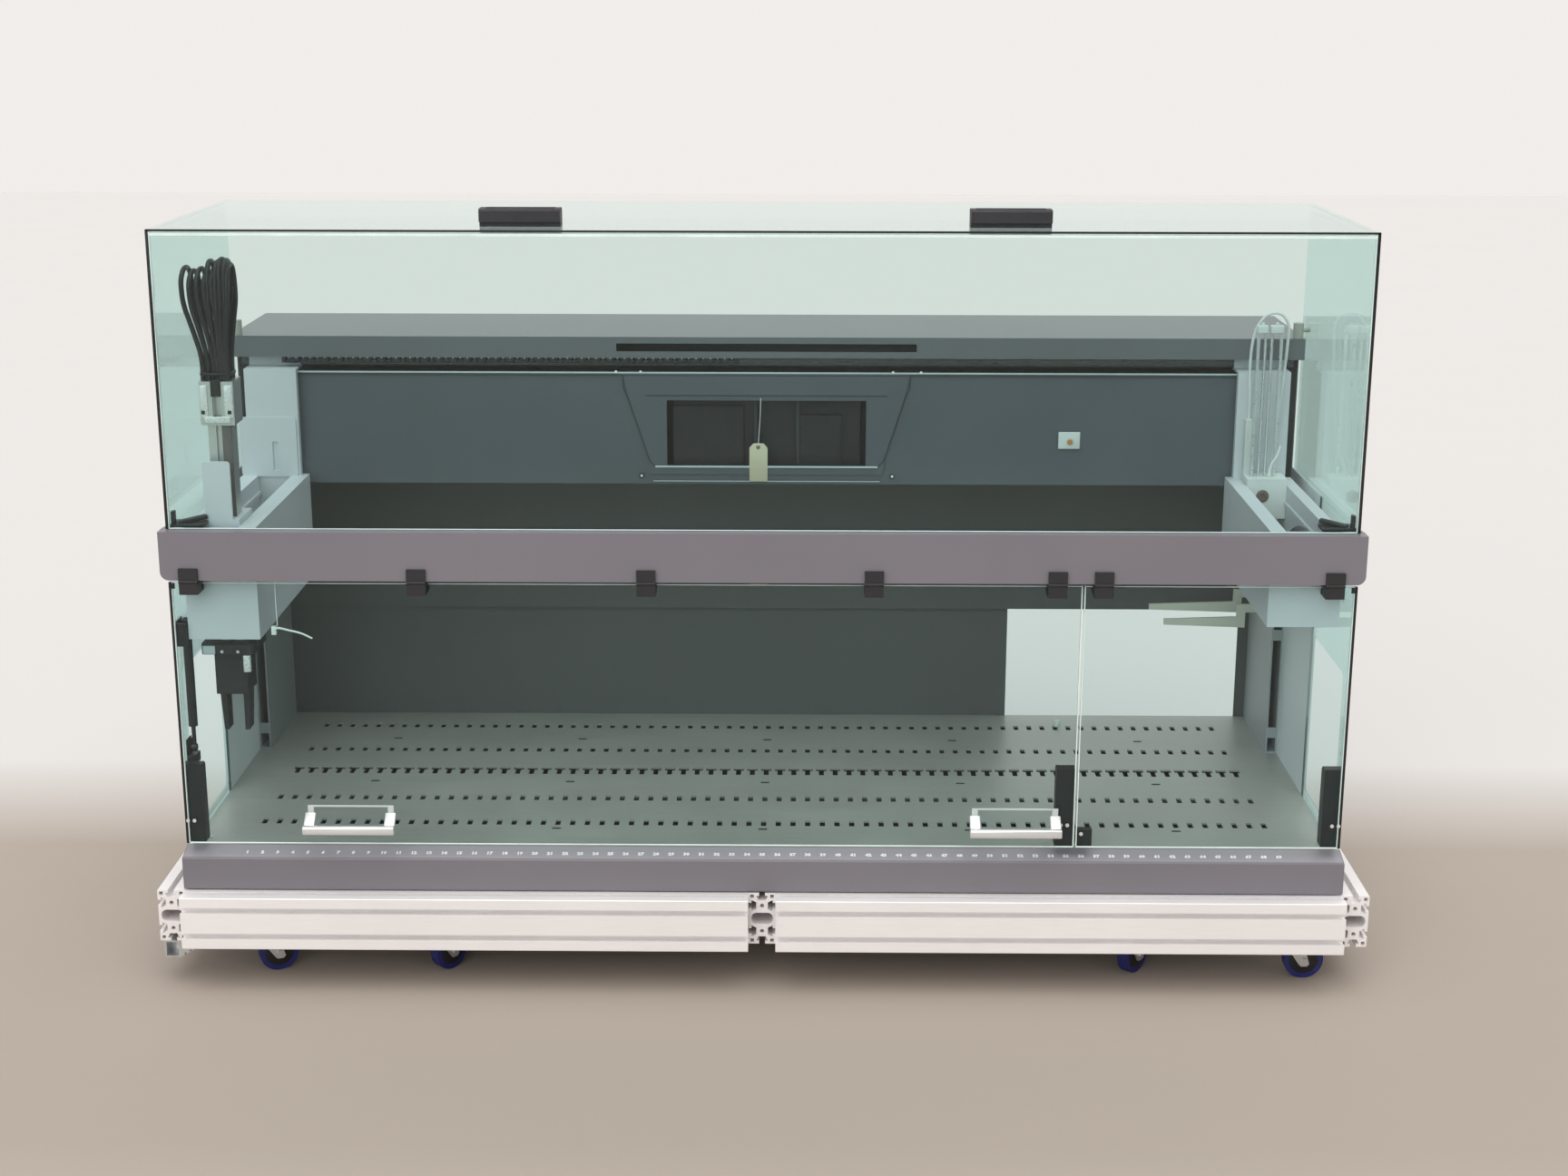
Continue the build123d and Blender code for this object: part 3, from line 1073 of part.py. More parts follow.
def gripper_head():
    """Swivelling gripper body under the column, with an open jaw slot below."""
    wide, deep, thick = HEAD_SIZE
    top = DECK_TOP + COLUMN_BOTTOM - HEAD_GAP
    x = COLUMN_X + HEAD_OFFSET
    plate = Pos(x, COLUMN_Y, top - thick / 2) * extrude(RectangleRounded(wide, deep, 6), thick / 2, both=True)
    body_wide, body_deep, body_tall = HEAD_BODY
    body = block(x - body_wide / 2, x + body_wide / 2, COLUMN_Y - body_deep / 2, COLUMN_Y + body_deep / 2,
                 top - thick - body_tall, top - thick)
    body -= block(x - body_wide / 2 - 1, x + body_wide / 2 + 1, COLUMN_Y - body_deep / 4, COLUMN_Y + body_deep / 4,
                  top - thick - body_tall - 1, top - thick - body_tall * 0.45)
    bore = tall_cylinder(COLUMN_X, COLUMN_Y, top - thick, top, SWIVEL_RADIUS + RUNNING_CLEARANCE)
    return plate + body - bore


def gripper_finger(side):
    """Finger that slides across under the head, tapering to its pad."""
    thick_y = HEAD_BODY[1] / 4 - FINGER_GAP
    top = DECK_TOP + COLUMN_BOTTOM - HEAD_GAP - HEAD_SIZE[2] - HEAD_BODY[2] * 0.45 - FINGER_GAP
    low = top - HEAD_BODY[2] * 0.55 - FINGER_DROP
    inner = FINGER_SPREAD / 2
    outer = inner + FINGER_THICKNESS
    shoulder = low + FINGER_DROP
    outline = make_face(Polyline(
        (inner, low), (outer, low), (outer + 4, shoulder), (outer + 4, top), (inner - 1, top),
        (inner - 1, shoulder + 16), (inner, shoulder), close=True))
    finger = along_y(outline, -thick_y, thick_y)
    if side < 0:
        finger = mirror(finger, about=Plane.YZ)
    return Pos(COLUMN_X + HEAD_OFFSET, COLUMN_Y, 0) * finger


def nodes():
    """Every node's name and shape."""
    shapes = {
        "dolly_rails": dolly_rails(),
        "corner_bracket": corner_bracket(),
        "caster_plates": group([caster_plate(x, y) for x, y, _ in caster_places()]),
        "instrument_feet": instrument_feet(),
        "base_pan": base_pan(),
        "worktable_deck": worktable_deck(),
        "front_lip": front_lip(),
        "side_windows": side_windows(),
        "side_rear_panels": side_rear_panels(),
        "rear_posts": rear_posts(),
        "rear_panel": rear_panel(),
        "cable_support_arms": cable_support_arms(),
        "beam_body": beam_body(),
        "beam_top_cover": beam_top_cover(),
        "beam_front_cover": beam_front_cover(),
        "x_guide_rail": x_guide_rail(),
        "cable_chain": cable_chain(),
        "control_module": control_module(),
        "fascia": fascia(),
        "hinge_clips_fixed": hinge_clips_fixed(),
        "gas_spring_anchor": gas_spring_anchor(),
        "hood_pivots": hood_pivots(),
        "door_left_glass": door_glass(-DOOR_HALF_WIDTH, DOOR_SPLIT - DOOR_GAP / 2),
        "door_left_fittings": door_left_fittings(),
        "door_handles": group([door_handle(x) for x in HANDLE_XS]),
        "door_right_glass": door_glass(DOOR_SPLIT + DOOR_GAP / 2, DOOR_HALF_WIDTH),
        "door_right_fittings": door_right_fittings(),
        "gas_spring_rod": gas_spring_rod(),
        "gas_spring_barrel": gas_spring_barrel(),
        "hood_panels": hood_panels(),
        "hood_handles": hood_handles(),
        "liquid_arm_frame": liquid_arm_frame(),
        "liquid_arm_drive": liquid_arm_drive(),
        "liquid_carriage": liquid_carriage(),
        "liquid_tubing": liquid_tubing(),
        "gripper_arm_frame": gripper_arm_frame(),
        "gripper_carriage": gripper_carriage(),
        "gripper_column": gripper_column(),
        "gripper_cables": gripper_cables(),
        "gripper_head": gripper_head(),
        "gripper_finger_left": gripper_finger(-1),
        "gripper_finger_right": gripper_finger(1),
    }
    for number, (rack_x, tube_x) in enumerate(TIP_XS, 1):
        shapes[f"liquid_tip_{number}"] = liquid_tip(rack_x, tube_x)
    for number, (x, y, angle) in enumerate(caster_places(), 1):
        shapes[f"caster_fork_{number}"] = caster_fork(x, y, angle)
        shapes[f"caster_wheel_{number}"] = caster_wheel(x, y, angle)
    return shapes


os.makedirs("parts", exist_ok=True)
for name, shape in nodes().items():
    export_step(shape, f"parts/{name}.step")
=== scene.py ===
import math

import bpy
import numpy as np
from mathutils import Matrix, Vector


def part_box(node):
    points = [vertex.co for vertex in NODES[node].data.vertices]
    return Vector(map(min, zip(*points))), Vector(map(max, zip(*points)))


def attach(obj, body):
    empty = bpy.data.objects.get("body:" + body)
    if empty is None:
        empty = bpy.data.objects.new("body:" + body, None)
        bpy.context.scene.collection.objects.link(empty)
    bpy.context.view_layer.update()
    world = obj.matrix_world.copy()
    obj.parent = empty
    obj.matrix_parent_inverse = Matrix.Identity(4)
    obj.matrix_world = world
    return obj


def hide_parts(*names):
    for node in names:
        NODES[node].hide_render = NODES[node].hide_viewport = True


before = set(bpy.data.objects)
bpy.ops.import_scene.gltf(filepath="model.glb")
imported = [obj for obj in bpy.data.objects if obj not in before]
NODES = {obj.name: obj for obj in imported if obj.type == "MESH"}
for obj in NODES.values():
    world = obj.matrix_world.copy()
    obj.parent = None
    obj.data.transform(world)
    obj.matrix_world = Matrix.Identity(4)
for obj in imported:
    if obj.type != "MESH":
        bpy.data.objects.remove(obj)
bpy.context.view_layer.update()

DECK = float(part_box("worktable_deck")[1][2])
HOOD_TOP = float(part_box("hood_panels")[1][2])

CASTERS = range(1, 9)
WHEEL_CORE = 0.79             # radius of the ball that marks a wheel's core, as a share of the wheel's
MIRROR_BASE = 0.016           # share mirrored by a sheet seen square on
MIRROR_RISE = 0.9             # further share mirrored by a sheet seen edge on
MIRROR_POWER = 5.0
TOP_MIRROR_RISE = 0.85
TOP_MIRROR_POWER = 2.0
GRID_COUNT = 69
GRID_PITCH = 25.0
NUMBER_SIZE = 0.0098
NUMBER_BOLDNESS = 0.0006
NUMBER_ACROSS = 0.58          # share of the slope from its rear edge
NUMBER_LIFT = 0.55
CHAIN_STEP = 12.5
BAY_SCREW_XS = (-220.5, 221.8)
BAY_SCREW_Z = 773.2
HOOD_GRIP_XS = (-376, 386)
HOOD_GRIP_HALF = 54
DOOR_GRIP_SPANS = ((-747.5, -598.5), (338.5, 487.5))
SWITCH_X, SWITCH_Z = 533.6, 836
CAMERA_PLACE = (0.06641, -3.84586, 1.3895 + DECK)
CAMERA_TURN = (-0.0089316, 0.2625437, -0.0017707)
CAMERA_LENS = 52.083
FLOOR_REACH = 14.0


# --- meshes: surfaces as functions of two parameters, worked out in millimetres ---

def piece_from(name, points, faces, material, body, soft_edges=True):
    """One piece from an array of points and an array or list of faces."""
    mesh = bpy.data.meshes.new(name)
    mesh.from_pydata((np.asarray(points, float) * 0.001).tolist(), [], [list(map(int, f)) for f in faces])
    mesh.validate()
    piece = bpy.data.objects.new(name, mesh)
    bpy.context.scene.collection.objects.link(piece)
    mesh.materials.append(material)
    if soft_edges:
        mesh.polygons.foreach_set("use_smooth", np.ones(len(mesh.polygons), bool))
        mesh.set_sharp_from_angle(angle=math.radians(38))
    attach(piece, body)
    return piece


def loft(rings):
    """Skin over m rings of k points.

    P(i, j) is point j of ring i, quads join neighbours and each end ring is closed.
    """
    rings = np.asarray(rings, float)
    m, k, _ = rings.shape
    index = np.arange(m * k).reshape(m, k)
    a, b = index[:-1], index[1:]
    quads = np.stack([a, np.roll(a, -1, 1), np.roll(b, -1, 1), b], -1).reshape(-1, 4)
    faces = quads.tolist() + [index[0][::-1].tolist(), index[-1].tolist()]
    return rings.reshape(-1, 3), faces


def joined(parts):
    """Several (points, faces) pairs as one."""
    points, faces, start = [], [], 0
    for p, f in parts:
        points.append(p)
        faces += [[i + start for i in face] for face in f]
        start += len(p)
    return np.concatenate(points), faces


def round_rect(wide, tall, radius, steps=5):
    """Rounded rectangle: four quarter circles of the radius, joined by straight sides, anticlockwise."""
    t = np.linspace(0, np.pi / 2, steps)
    corners = []
    for quarter, (sx, sy) in enumerate(((1, 1), (-1, 1), (-1, -1), (1, -1))):
        angle = t + quarter * np.pi / 2
        corners.append(np.stack([sx * (wide / 2 - radius) + radius * np.cos(angle),
                                 sy * (tall / 2 - radius) + radius * np.sin(angle)], 1))
    return np.concatenate(corners)


def axes_for(along):
    """Two unit vectors square to a direction, right-handed with it."""
    along = np.asarray(along, float) / np.linalg.norm(along)
    side = np.cross([0, 0, 1], along) if abs(along[2]) < 0.9 else np.array([1.0, 0, 0])
    side = side / np.linalg.norm(side)
    return side, np.cross(along, side)


def soft_bar(start, end, wide, tall, radius, edge=0.6, steps=4, side=None):
    """Bar between two points.

    A rounded rectangle is carried along its axis and drawn in by a quarter circle at both ends.
    """
    start, end = np.asarray(start, float), np.asarray(end, float)
    along = end - start
    length = np.linalg.norm(along)
    u, v = axes_for(along)
    if side is not None:
        u = np.asarray(side, float)
        v = np.cross(along / length, u)
    t = np.linspace(0, np.pi / 2, 4)
    stations = np.concatenate([edge * (1 - np.cos(t)), length - edge * (1 - np.cos(t[::-1]))])
    inset = np.concatenate([edge * (1 - np.sin(t)), edge * (1 - np.sin(t[::-1]))])
    rings = []
    for s, d in zip(stations, inset):
        ring = round_rect(wide - 2 * d, tall - 2 * d, max(radius - d, 0.02), steps)
        rings.append(start + along / length * s + ring[:, :1] * u + ring[:, 1:] * v)
    return loft(rings)


def soft_box(x0, x1, y0, y1, z0, z1, radius=1.0, edge=0.6, steps=3):
    """Block between two corners with rounded edges along Z and eased edges at both ends."""
    middle = ((x0 + x1) / 2, (y0 + y1) / 2)
    return soft_bar((*middle, z0), (*middle, z1), x1 - x0, y1 - y0, radius, edge, steps, side=(1, 0, 0))


def turned(centre, along, profile, sides=24):
    """Turned form: P(s, a) = centre + along h(s) + r(s) (u cos a + v sin a), from (r, h) pairs."""
    profile = np.asarray(profile, float)
    u, v = axes_for(along)
    along = np.asarray(along, float) / np.linalg.norm(along)
    a = np.linspace(0, 2 * np.pi, sides, endpoint=False)
    ring = np.cos(a)[:, None] * u + np.sin(a)[:, None] * v
    return loft(np.asarray(centre) + profile[:, 1, None, None] * along + profile[:, 0, None, None] * ring)


def tube(path, radius, sides=12):
    """Round tube: P(s, a) = c(s) + r (n cos a + b sin a).

    n and b are carried along the path without twist.
    """
    path = np.asarray(path, float)
    tangent = np.gradient(path, axis=0)
    tangent /= np.linalg.norm(tangent, axis=1)[:, None]
    normal, _ = axes_for(tangent[0])
    normals = []
    for t in tangent:
        normal = normal - t * normal.dot(t)
        normal = normal / np.linalg.norm(normal)
        normals.append(normal)
    normals = np.array(normals)
    binormals = np.cross(tangent, normals)
    radius = np.broadcast_to(np.asarray(radius, float), len(path))
    a = np.linspace(0, 2 * np.pi, sides, endpoint=False)
    rings = path[:, None] + radius[:, None, None] * (np.cos(a)[None, :, None] * normals[:, None]
                                                     + np.sin(a)[None, :, None] * binormals[:, None])
    return loft(rings)


def smooth_line(points, count=60):
    """Catmull-Rom curve through the points, sampled evenly in its parameter."""
    p = np.asarray(points, float)
    p = np.concatenate([[2 * p[0] - p[1]], p, [2 * p[-1] - p[-2]]])
    t = np.linspace(0, len(p) - 3 - 1e-9, count)
    i = t.astype(int)
    f = (t - i)[:, None]
    a, b, c, d = p[i], p[i + 1], p[i + 2], p[i + 3]
    return 0.5 * (2 * b + (c - a) * f + (2 * a - 5 * b + 4 * c - d) * f ** 2
                  + (3 * b - a - 3 * c + d) * f ** 3)


def socket_screw(centre, outward, radius, rise=None, sides=20):
    """Cap screw: a turned head with an eased rim and a round socket sunk in it."""
    rise = rise or radius * 0.5
    profile = [(radius, 0), (radius, rise * 0.75), (radius * 0.9, rise), (radius * 0.52, rise),
               (radius * 0.5, rise * 0.35), (radius * 0.02, rise * 0.3)]
    return turned(centre, outward, profile, sides)


# --- materials: node trees on object coordinates ---

class Finish:
    """A material with one Principled shader and helpers that wire patterns to it."""

    def __init__(self, name, colour, roughness=0.5, metallic=0.0, **sockets):
        self.material = bpy.data.materials.new(name)
        self.material.use_nodes = True
        self.tree = self.material.node_tree
        self.shader = self.tree.nodes["Principled BSDF"]
        self.output = self.tree.nodes["Material Output"]
        self.place = self.tree.nodes.new("ShaderNodeTexCoord").outputs["Object"]
        self.colour = colour
        self.set("Base Color", (*colour, 1))
        self.set("Roughness", roughness)
        self.set("Metallic", metallic)
        for key, value in sockets.items():
            self.set(key.replace("_", " "), value)

    def set(self, socket, value):
        self.shader.inputs[socket].default_value = value

    def link(self, a, b):
        self.tree.links.new(a, b)

    def scaled(self, scale):
        """Object coordinates stretched by a scale on each axis."""
        mapping = self.tree.nodes.new("ShaderNodeMapping")
        mapping.inputs["Scale"].default_value = scale
        self.link(self.place, mapping.inputs["Vector"])
        return mapping.outputs["Vector"]

    def noise(self, scale, detail=4.0, stretch=(1, 1, 1), rough=0.55):
        node = self.tree.nodes.new("ShaderNodeTexNoise")
        node.inputs["Scale"].default_value = scale
        node.inputs["Detail"].default_value = detail
        node.inputs["Roughness"].default_value = rough
        self.link(self.scaled(stretch), node.inputs["Vector"])
        return node.outputs["Fac"]

    def span(self, value, low, high, start=0.3, stop=0.7):
        """The value carried from start..stop to low..high."""
        node = self.tree.nodes.new("ShaderNodeMapRange")
        node.inputs["From Min"].default_value = start
        node.inputs["From Max"].default_value = stop
        node.inputs["To Min"].default_value = low
        node.inputs["To Max"].default_value = high
        self.link(value, node.inputs["Value"])
        return node.outputs["Result"]

    def blend(self, factor, first, second):
        node = self.tree.nodes.new("ShaderNodeMix")
        node.data_type = "RGBA"
        self.link(factor, node.inputs["Factor"])
        for socket, value in ((node.inputs[6], first), (node.inputs[7], second)):
            if isinstance(value, tuple):
                socket.default_value = (*value, 1)
            else:
                self.link(value, socket)
        return node.outputs[2]

    def tone(self, factor, darker, lighter):
        """Colour between two shades of the base colour."""
        shades = [tuple(min(1.0, c * k) for c in self.colour) for k in (darker, lighter)]
        mixed = self.blend(factor, *shades)
        self.link(mixed, self.shader.inputs["Base Color"])
        return mixed

    def rough(self, factor, low, high, start=0.3, stop=0.7):
        self.link(self.span(factor, low, high, start, stop), self.shader.inputs["Roughness"])

    def bump(self, height, strength=0.2, distance=0.0005):
        node = self.tree.nodes.new("ShaderNodeBump")
        node.inputs["Strength"].default_value = strength
        node.inputs["Distance"].default_value = distance
        self.link(height, node.inputs["Height"])
        self.link(node.outputs["Normal"], self.shader.inputs["Normal"])

    def math(self, kind, a, b=None):
        node = self.tree.nodes.new("ShaderNodeMath")
        node.operation = kind
        for socket, value in zip(node.inputs, (a, b)):
            if value is None:
                continue
            if isinstance(value, (int, float)):
                socket.default_value = value
            else:
                self.link(value, socket)
        return node.outputs[0]

    def axis(self, name):
        """One object coordinate."""
        node = self.tree.nodes.new("ShaderNodeSeparateXYZ")
        self.link(self.place, node.inputs["Vector"])
        return node.outputs[name]


def powder_coat(name, colour, roughness=0.5, grain=900, mottle=0.06):
    """Fine-grained powder coat with faint cloudy shade and orange-peel bump."""
    f = Finish(name, colour, roughness)
    cloud = f.noise(3.5, 3)
    f.tone(f.span(cloud, 0, 1), 1 - mottle, 1 + mottle)
    fine = f.noise(grain, 2)
    f.rough(fine, roughness - 0.08, roughness + 0.1)
    f.bump(fine, 0.12, 0.0003)
    return f.material


def moulded_plastic(name, colour, roughness=0.45, grain=1400):
    """Moulded plastic with a fine spark-eroded grain."""
    f = Finish(name, colour, roughness)
    fine = f.noise(grain, 2)
    cloud = f.noise(14, 3)
    f.tone(f.span(cloud, 0, 1), 0.9, 1.1)
    f.rough(f.noise(60, 3), roughness - 0.07, roughness + 0.1)
    f.bump(fine, 0.18, 0.0002)
    return f.material


def drawn_metal(name, colour, stretch, roughness=0.35, metallic=1.0, contrast=0.08, scale=700):
    """Metal with fine lines drawn along one axis and faint stains."""
    f = Finish(name, colour, roughness, metallic)
    lines = f.noise(scale, 3, stretch)
    stain = f.noise(5, 4)
    factor = f.math("ADD", f.math("MULTIPLY", lines, 0.6), f.math("MULTIPLY", stain, 0.4))
    f.tone(f.span(factor, 0, 1), 1 - contrast, 1 + contrast)
    f.rough(factor, roughness - 0.1, roughness + 0.12)
    f.bump(lines, 0.08, 0.0002)
    return f.material


def tinted_glass(name, tint, top_level=None):
    """Thin tinted sheet: light passes with its tint, and a share set by the angle is mirrored.

    The mirrored share of one face is base + rise f^5, where f = 1 - cos(angle); above top_level it is
    raised, since the level sheet is seen almost edge on and mirrors the pale room.
    """
    f = Finish(name, tint)
    f.tree.nodes.remove(f.shader)
    clear = f.tree.nodes.new("ShaderNodeBsdfTransparent")
    open_air = f.tree.nodes.new("ShaderNodeBsdfTransparent")
    mirror = f.tree.nodes.new("ShaderNodeBsdfGlossy")
    angle = f.tree.nodes.new("ShaderNodeLayerWeight")
    rays = f.tree.nodes.new("ShaderNodeLightPath")
    mix = f.tree.nodes.new("ShaderNodeMixShader")
    shade = f.tree.nodes.new("ShaderNodeMixShader")
    clear.inputs["Color"].default_value = (*tint, 1)
    mirror.inputs["Color"].default_value = (0.95, 1.0, 0.985, 1)
    angle.inputs["Blend"].default_value = 0.5
    grazing = f.math("POWER", angle.outputs["Facing"], MIRROR_POWER)
    share = f.math("ADD", f.math("MULTIPLY", grazing, MIRROR_RISE), MIRROR_BASE)
    if top_level is not None:
        high = f.math("GREATER_THAN", f.axis("Z"), top_level)
        steep = f.math("POWER", angle.outputs["Facing"], TOP_MIRROR_POWER)
        lifted = f.math("MULTIPLY", steep, TOP_MIRROR_RISE)
        share = f.math("MAXIMUM", share, f.math("MULTIPLY", high, lifted))
    f.link(f.span(f.noise(2.5, 5), 0.015, 0.07), mirror.inputs["Roughness"])
    f.link(share, mix.inputs["Fac"])
    f.link(clear.outputs[0], mix.inputs[1])
    f.link(mirror.outputs[0], mix.inputs[2])
    f.link(rays.outputs["Is Shadow Ray"], shade.inputs["Fac"])
    f.link(mix.outputs[0], shade.inputs[1])
    f.link(open_air.outputs[0], shade.inputs[2])
    f.link(shade.outputs[0], f.output.inputs["Surface"])
    return f.material


def worktable_steel():
    """Brushed steel: long strokes along X under cloudy handling marks."""
    f = Finish("worktable_steel", (0.465, 0.448, 0.42), 0.36, 0.35)
    strokes = f.noise(380, 4, (0.03, 1, 1))
    cloud = f.noise(4, 5, (1, 1.6, 1))
    factor = f.math("ADD", f.math("MULTIPLY", strokes, 0.45), f.math("MULTIPLY", cloud, 0.55))
    f.tone(f.span(factor, 0, 1), 0.84, 1.12)
    f.rough(factor, 0.3, 0.5)
    f.bump(strokes, 0.06, 0.0002)
    return f.material


def toothed_steel():
    """Rack bar: bright steel with teeth as a row of ridges along Z."""
    f = Finish("toothed_steel", (0.74, 0.75, 0.75), 0.3, 0.9)
    wave = f.tree.nodes.new("ShaderNodeTexWave")
    wave.bands_direction = "Z"
    wave.inputs["Scale"].default_value = 180
    f.link(f.place, wave.inputs["Vector"])
    f.tone(wave.outputs["Fac"], 0.75, 1.08)
    f.rough(f.noise(90, 3), 0.22, 0.42)
    f.bump(wave.outputs["Fac"], 0.5, 0.0006)
    return f.material


def rolled_tyre():
    """Blue elastic tyre with a dusty tread, on a black core about each wheel's axle."""
    f = Finish("rolled_tyre", (0.012, 0.017, 0.14), 0.42)
    dust = f.noise(40, 5)
    worn = f.blend(f.span(dust, 0, 0.35, 0.55, 0.85), (0.010, 0.015, 0.13), (0.08, 0.085, 0.15))
    nearest = None
    for i in CASTERS:
        low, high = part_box(f"caster_wheel_{i}")
        away = f.tree.nodes.new("ShaderNodeVectorMath")
        away.operation = "DISTANCE"
        f.link(f.place, away.inputs[0])
        away.inputs[1].default_value = [(a + b) / 2 for a, b in zip(low, high)]
        distance = away.outputs["Value"]
        nearest = distance if nearest is None else f.math("MINIMUM", nearest, distance)
    core = f.math("LESS_THAN", nearest, (high[2] - low[2]) / 2 * WHEEL_CORE)
    f.link(f.blend(core, worn, (0.010, 0.010, 0.011)), f.shader.inputs["Base Color"])
    f.rough(dust, 0.34, 0.6)
    f.bump(f.noise(500, 3), 0.15, 0.0004)
    return f.material


FASCIA_GREY = powder_coat("warm_dark_grey_coat", (0.185, 0.172, 0.192), 0.38, 1100, 0.04)
PALE_COAT = powder_coat("pale_blue_grey_coat", (0.60, 0.61, 0.64), 0.4)
SIDE_COAT = powder_coat("side_panel_coat", (0.80, 0.82, 0.83), 0.45)
POST_COAT = powder_coat("rear_post_coat", (0.31, 0.325, 0.33), 0.4)
BEAM_COAT = powder_coat("beam_cover_coat", (0.088, 0.098, 0.116), 0.4)
TOP_COVER_COAT = powder_coat("top_cover_coat", (0.128, 0.134, 0.145), 0.3)
REAR_COAT = powder_coat("rear_panel_coat", (0.086, 0.087, 0.088), 0.45)
# painted shade: the pan under the deck is near black, so the deck's holes read as shade
PAN_PAINTED_SHADE = powder_coat("base_pan_painted_shade", (0.035, 0.038, 0.038), 0.6)
CREAM_COAT = powder_coat("cream_coat", (0.62, 0.60, 0.52), 0.45)
BLACK_PLASTIC = moulded_plastic("black_moulding", (0.018, 0.018, 0.020), 0.42)
SOFT_BLACK = moulded_plastic("soft_black_grip", (0.030, 0.027, 0.032), 0.55, 700)
WHITE_PLASTIC = moulded_plastic("white_moulding", (0.66, 0.68, 0.67), 0.35)
BUMPER_GREY = moulded_plastic("bumper_grey", (0.36, 0.36, 0.32), 0.5)
CABLE_BLACK = moulded_plastic("cable_jacket", (0.016, 0.015, 0.018), 0.38, 500)
FRAME_ALUMINIUM = drawn_metal("anodised_profile", (0.93, 0.90, 0.895), (0.02, 1, 1), 0.45, 0.35, 0.04)
HANDLE_METAL = drawn_metal("handle_aluminium", (0.82, 0.83, 0.83), (0.02, 1, 1), 0.32, 0.7, 0.05)
COLUMN_METAL = drawn_metal("column_aluminium", (0.60, 0.61, 0.60), (1, 1, 0.02), 0.35, 0.8, 0.07)
ZINC = drawn_metal("bright_zinc", (0.66, 0.67, 0.68), (1, 1, 0.3), 0.38, 0.9, 0.12, 120)
GUIDE_STEEL = drawn_metal("ground_guide_steel", (0.11, 0.11, 0.115), (0.02, 1, 1), 0.25, 1.0, 0.06)
DARK_ROD = drawn_metal("oiled_dark_rod", (0.05, 0.05, 0.052), (1, 1, 0.02), 0.25, 0.6, 0.05)
# painted shade: the beam body inside the covers is near black, so what shows of it through the slot reads as
# deep shade
INNER_PAINTED_SHADE = powder_coat("beam_inner_painted_shade", (0.022, 0.022, 0.024), 0.55)
DECK_STEEL = worktable_steel()
TIP_STEEL = toothed_steel()
TYRE_BLUE = rolled_tyre()
GLASS = tinted_glass("grey_green_glass", (0.855, 0.935, 0.93))
HOOD_GLASS = tinted_glass("hood_glass", (0.865, 0.94, 0.93), HOOD_TOP - 0.006)

NODE_FINISHES = {
    "dolly_rails": FRAME_ALUMINIUM, "corner_bracket": ZINC, "caster_plates": ZINC,
    "instrument_feet": SOFT_BLACK, "base_pan": PAN_PAINTED_SHADE, "worktable_deck": DECK_STEEL,
    "front_lip": FASCIA_GREY, "side_windows": GLASS, "side_rear_panels": SIDE_COAT,
    "rear_posts": POST_COAT, "rear_panel": REAR_COAT, "cable_support_arms": CREAM_COAT,
    "beam_body": INNER_PAINTED_SHADE, "beam_top_cover": TOP_COVER_COAT, "beam_front_cover": BEAM_COAT,
    "x_guide_rail": GUIDE_STEEL,
    "cable_chain": BLACK_PLASTIC, "control_module": BLACK_PLASTIC, "fascia": FASCIA_GREY,
    "hinge_clips_fixed": BLACK_PLASTIC, "gas_spring_anchor": BLACK_PLASTIC, "hood_pivots": BUMPER_GREY,
    "door_left_glass": GLASS, "door_left_fittings": BLACK_PLASTIC, "door_handles": HANDLE_METAL,
    "door_right_glass": GLASS, "door_right_fittings": BLACK_PLASTIC, "gas_spring_rod": DARK_ROD,
    "gas_spring_barrel": CABLE_BLACK, "hood_panels": HOOD_GLASS, "hood_handles": SOFT_BLACK,
    "liquid_arm_frame": PALE_COAT, "liquid_arm_drive": BLACK_PLASTIC, "liquid_carriage": WHITE_PLASTIC,
    "liquid_tubing": WHITE_PLASTIC, "gripper_arm_frame": PALE_COAT, "gripper_carriage": PALE_COAT,
    "gripper_column": COLUMN_METAL, "gripper_cables": CABLE_BLACK, "gripper_head": BLACK_PLASTIC,
    "gripper_finger_left": BLACK_PLASTIC, "gripper_finger_right": BLACK_PLASTIC, "liquid_tip_1": TIP_STEEL,
    "liquid_tip_2": TIP_STEEL,
    **{f"caster_fork_{i}": ZINC for i in CASTERS}, **{f"caster_wheel_{i}": TYRE_BLUE for i in CASTERS},
}
for name, finish in NODE_FINISHES.items():
    node = NODES[name]
    node.data.materials.clear()
    node.data.materials.append(finish)


# --- dressing pieces, all sizes in millimetres ---

def level(name, corner, axis):
    """One coordinate of a node's box corner, in millimetres."""
    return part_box(name)[corner][axis] * 1000


DECK_MM = DECK * 1000
HOOD_LOW, HOOD_HIGH = level("hood_panels", 0, 2), level("hood_panels", 1, 2)
HOOD_HALF = level("hood_panels", 1, 0)
GLASS_FRONT = level("door_left_glass", 0, 1)
GLASS_BACK = level("door_left_glass", 1, 1)
DOOR_LOW, DOOR_HIGH = level("door_left_glass", 0, 2), level("door_left_glass", 1, 2)
DOOR_LEFT, DOOR_SPLIT_LEFT = level("door_left_glass", 0, 0), level("door_left_glass", 1, 0)
DOOR_SPLIT_RIGHT, DOOR_RIGHT = level("door_right_glass", 0, 0), level("door_right_glass", 1, 0)
COVER_FRONT = level("beam_front_cover", 0, 1)
LIP_FRONT = level("front_lip", 0, 1)
LIP_SLOPE_BACK, LIP_DROP = -328.0, 10.0

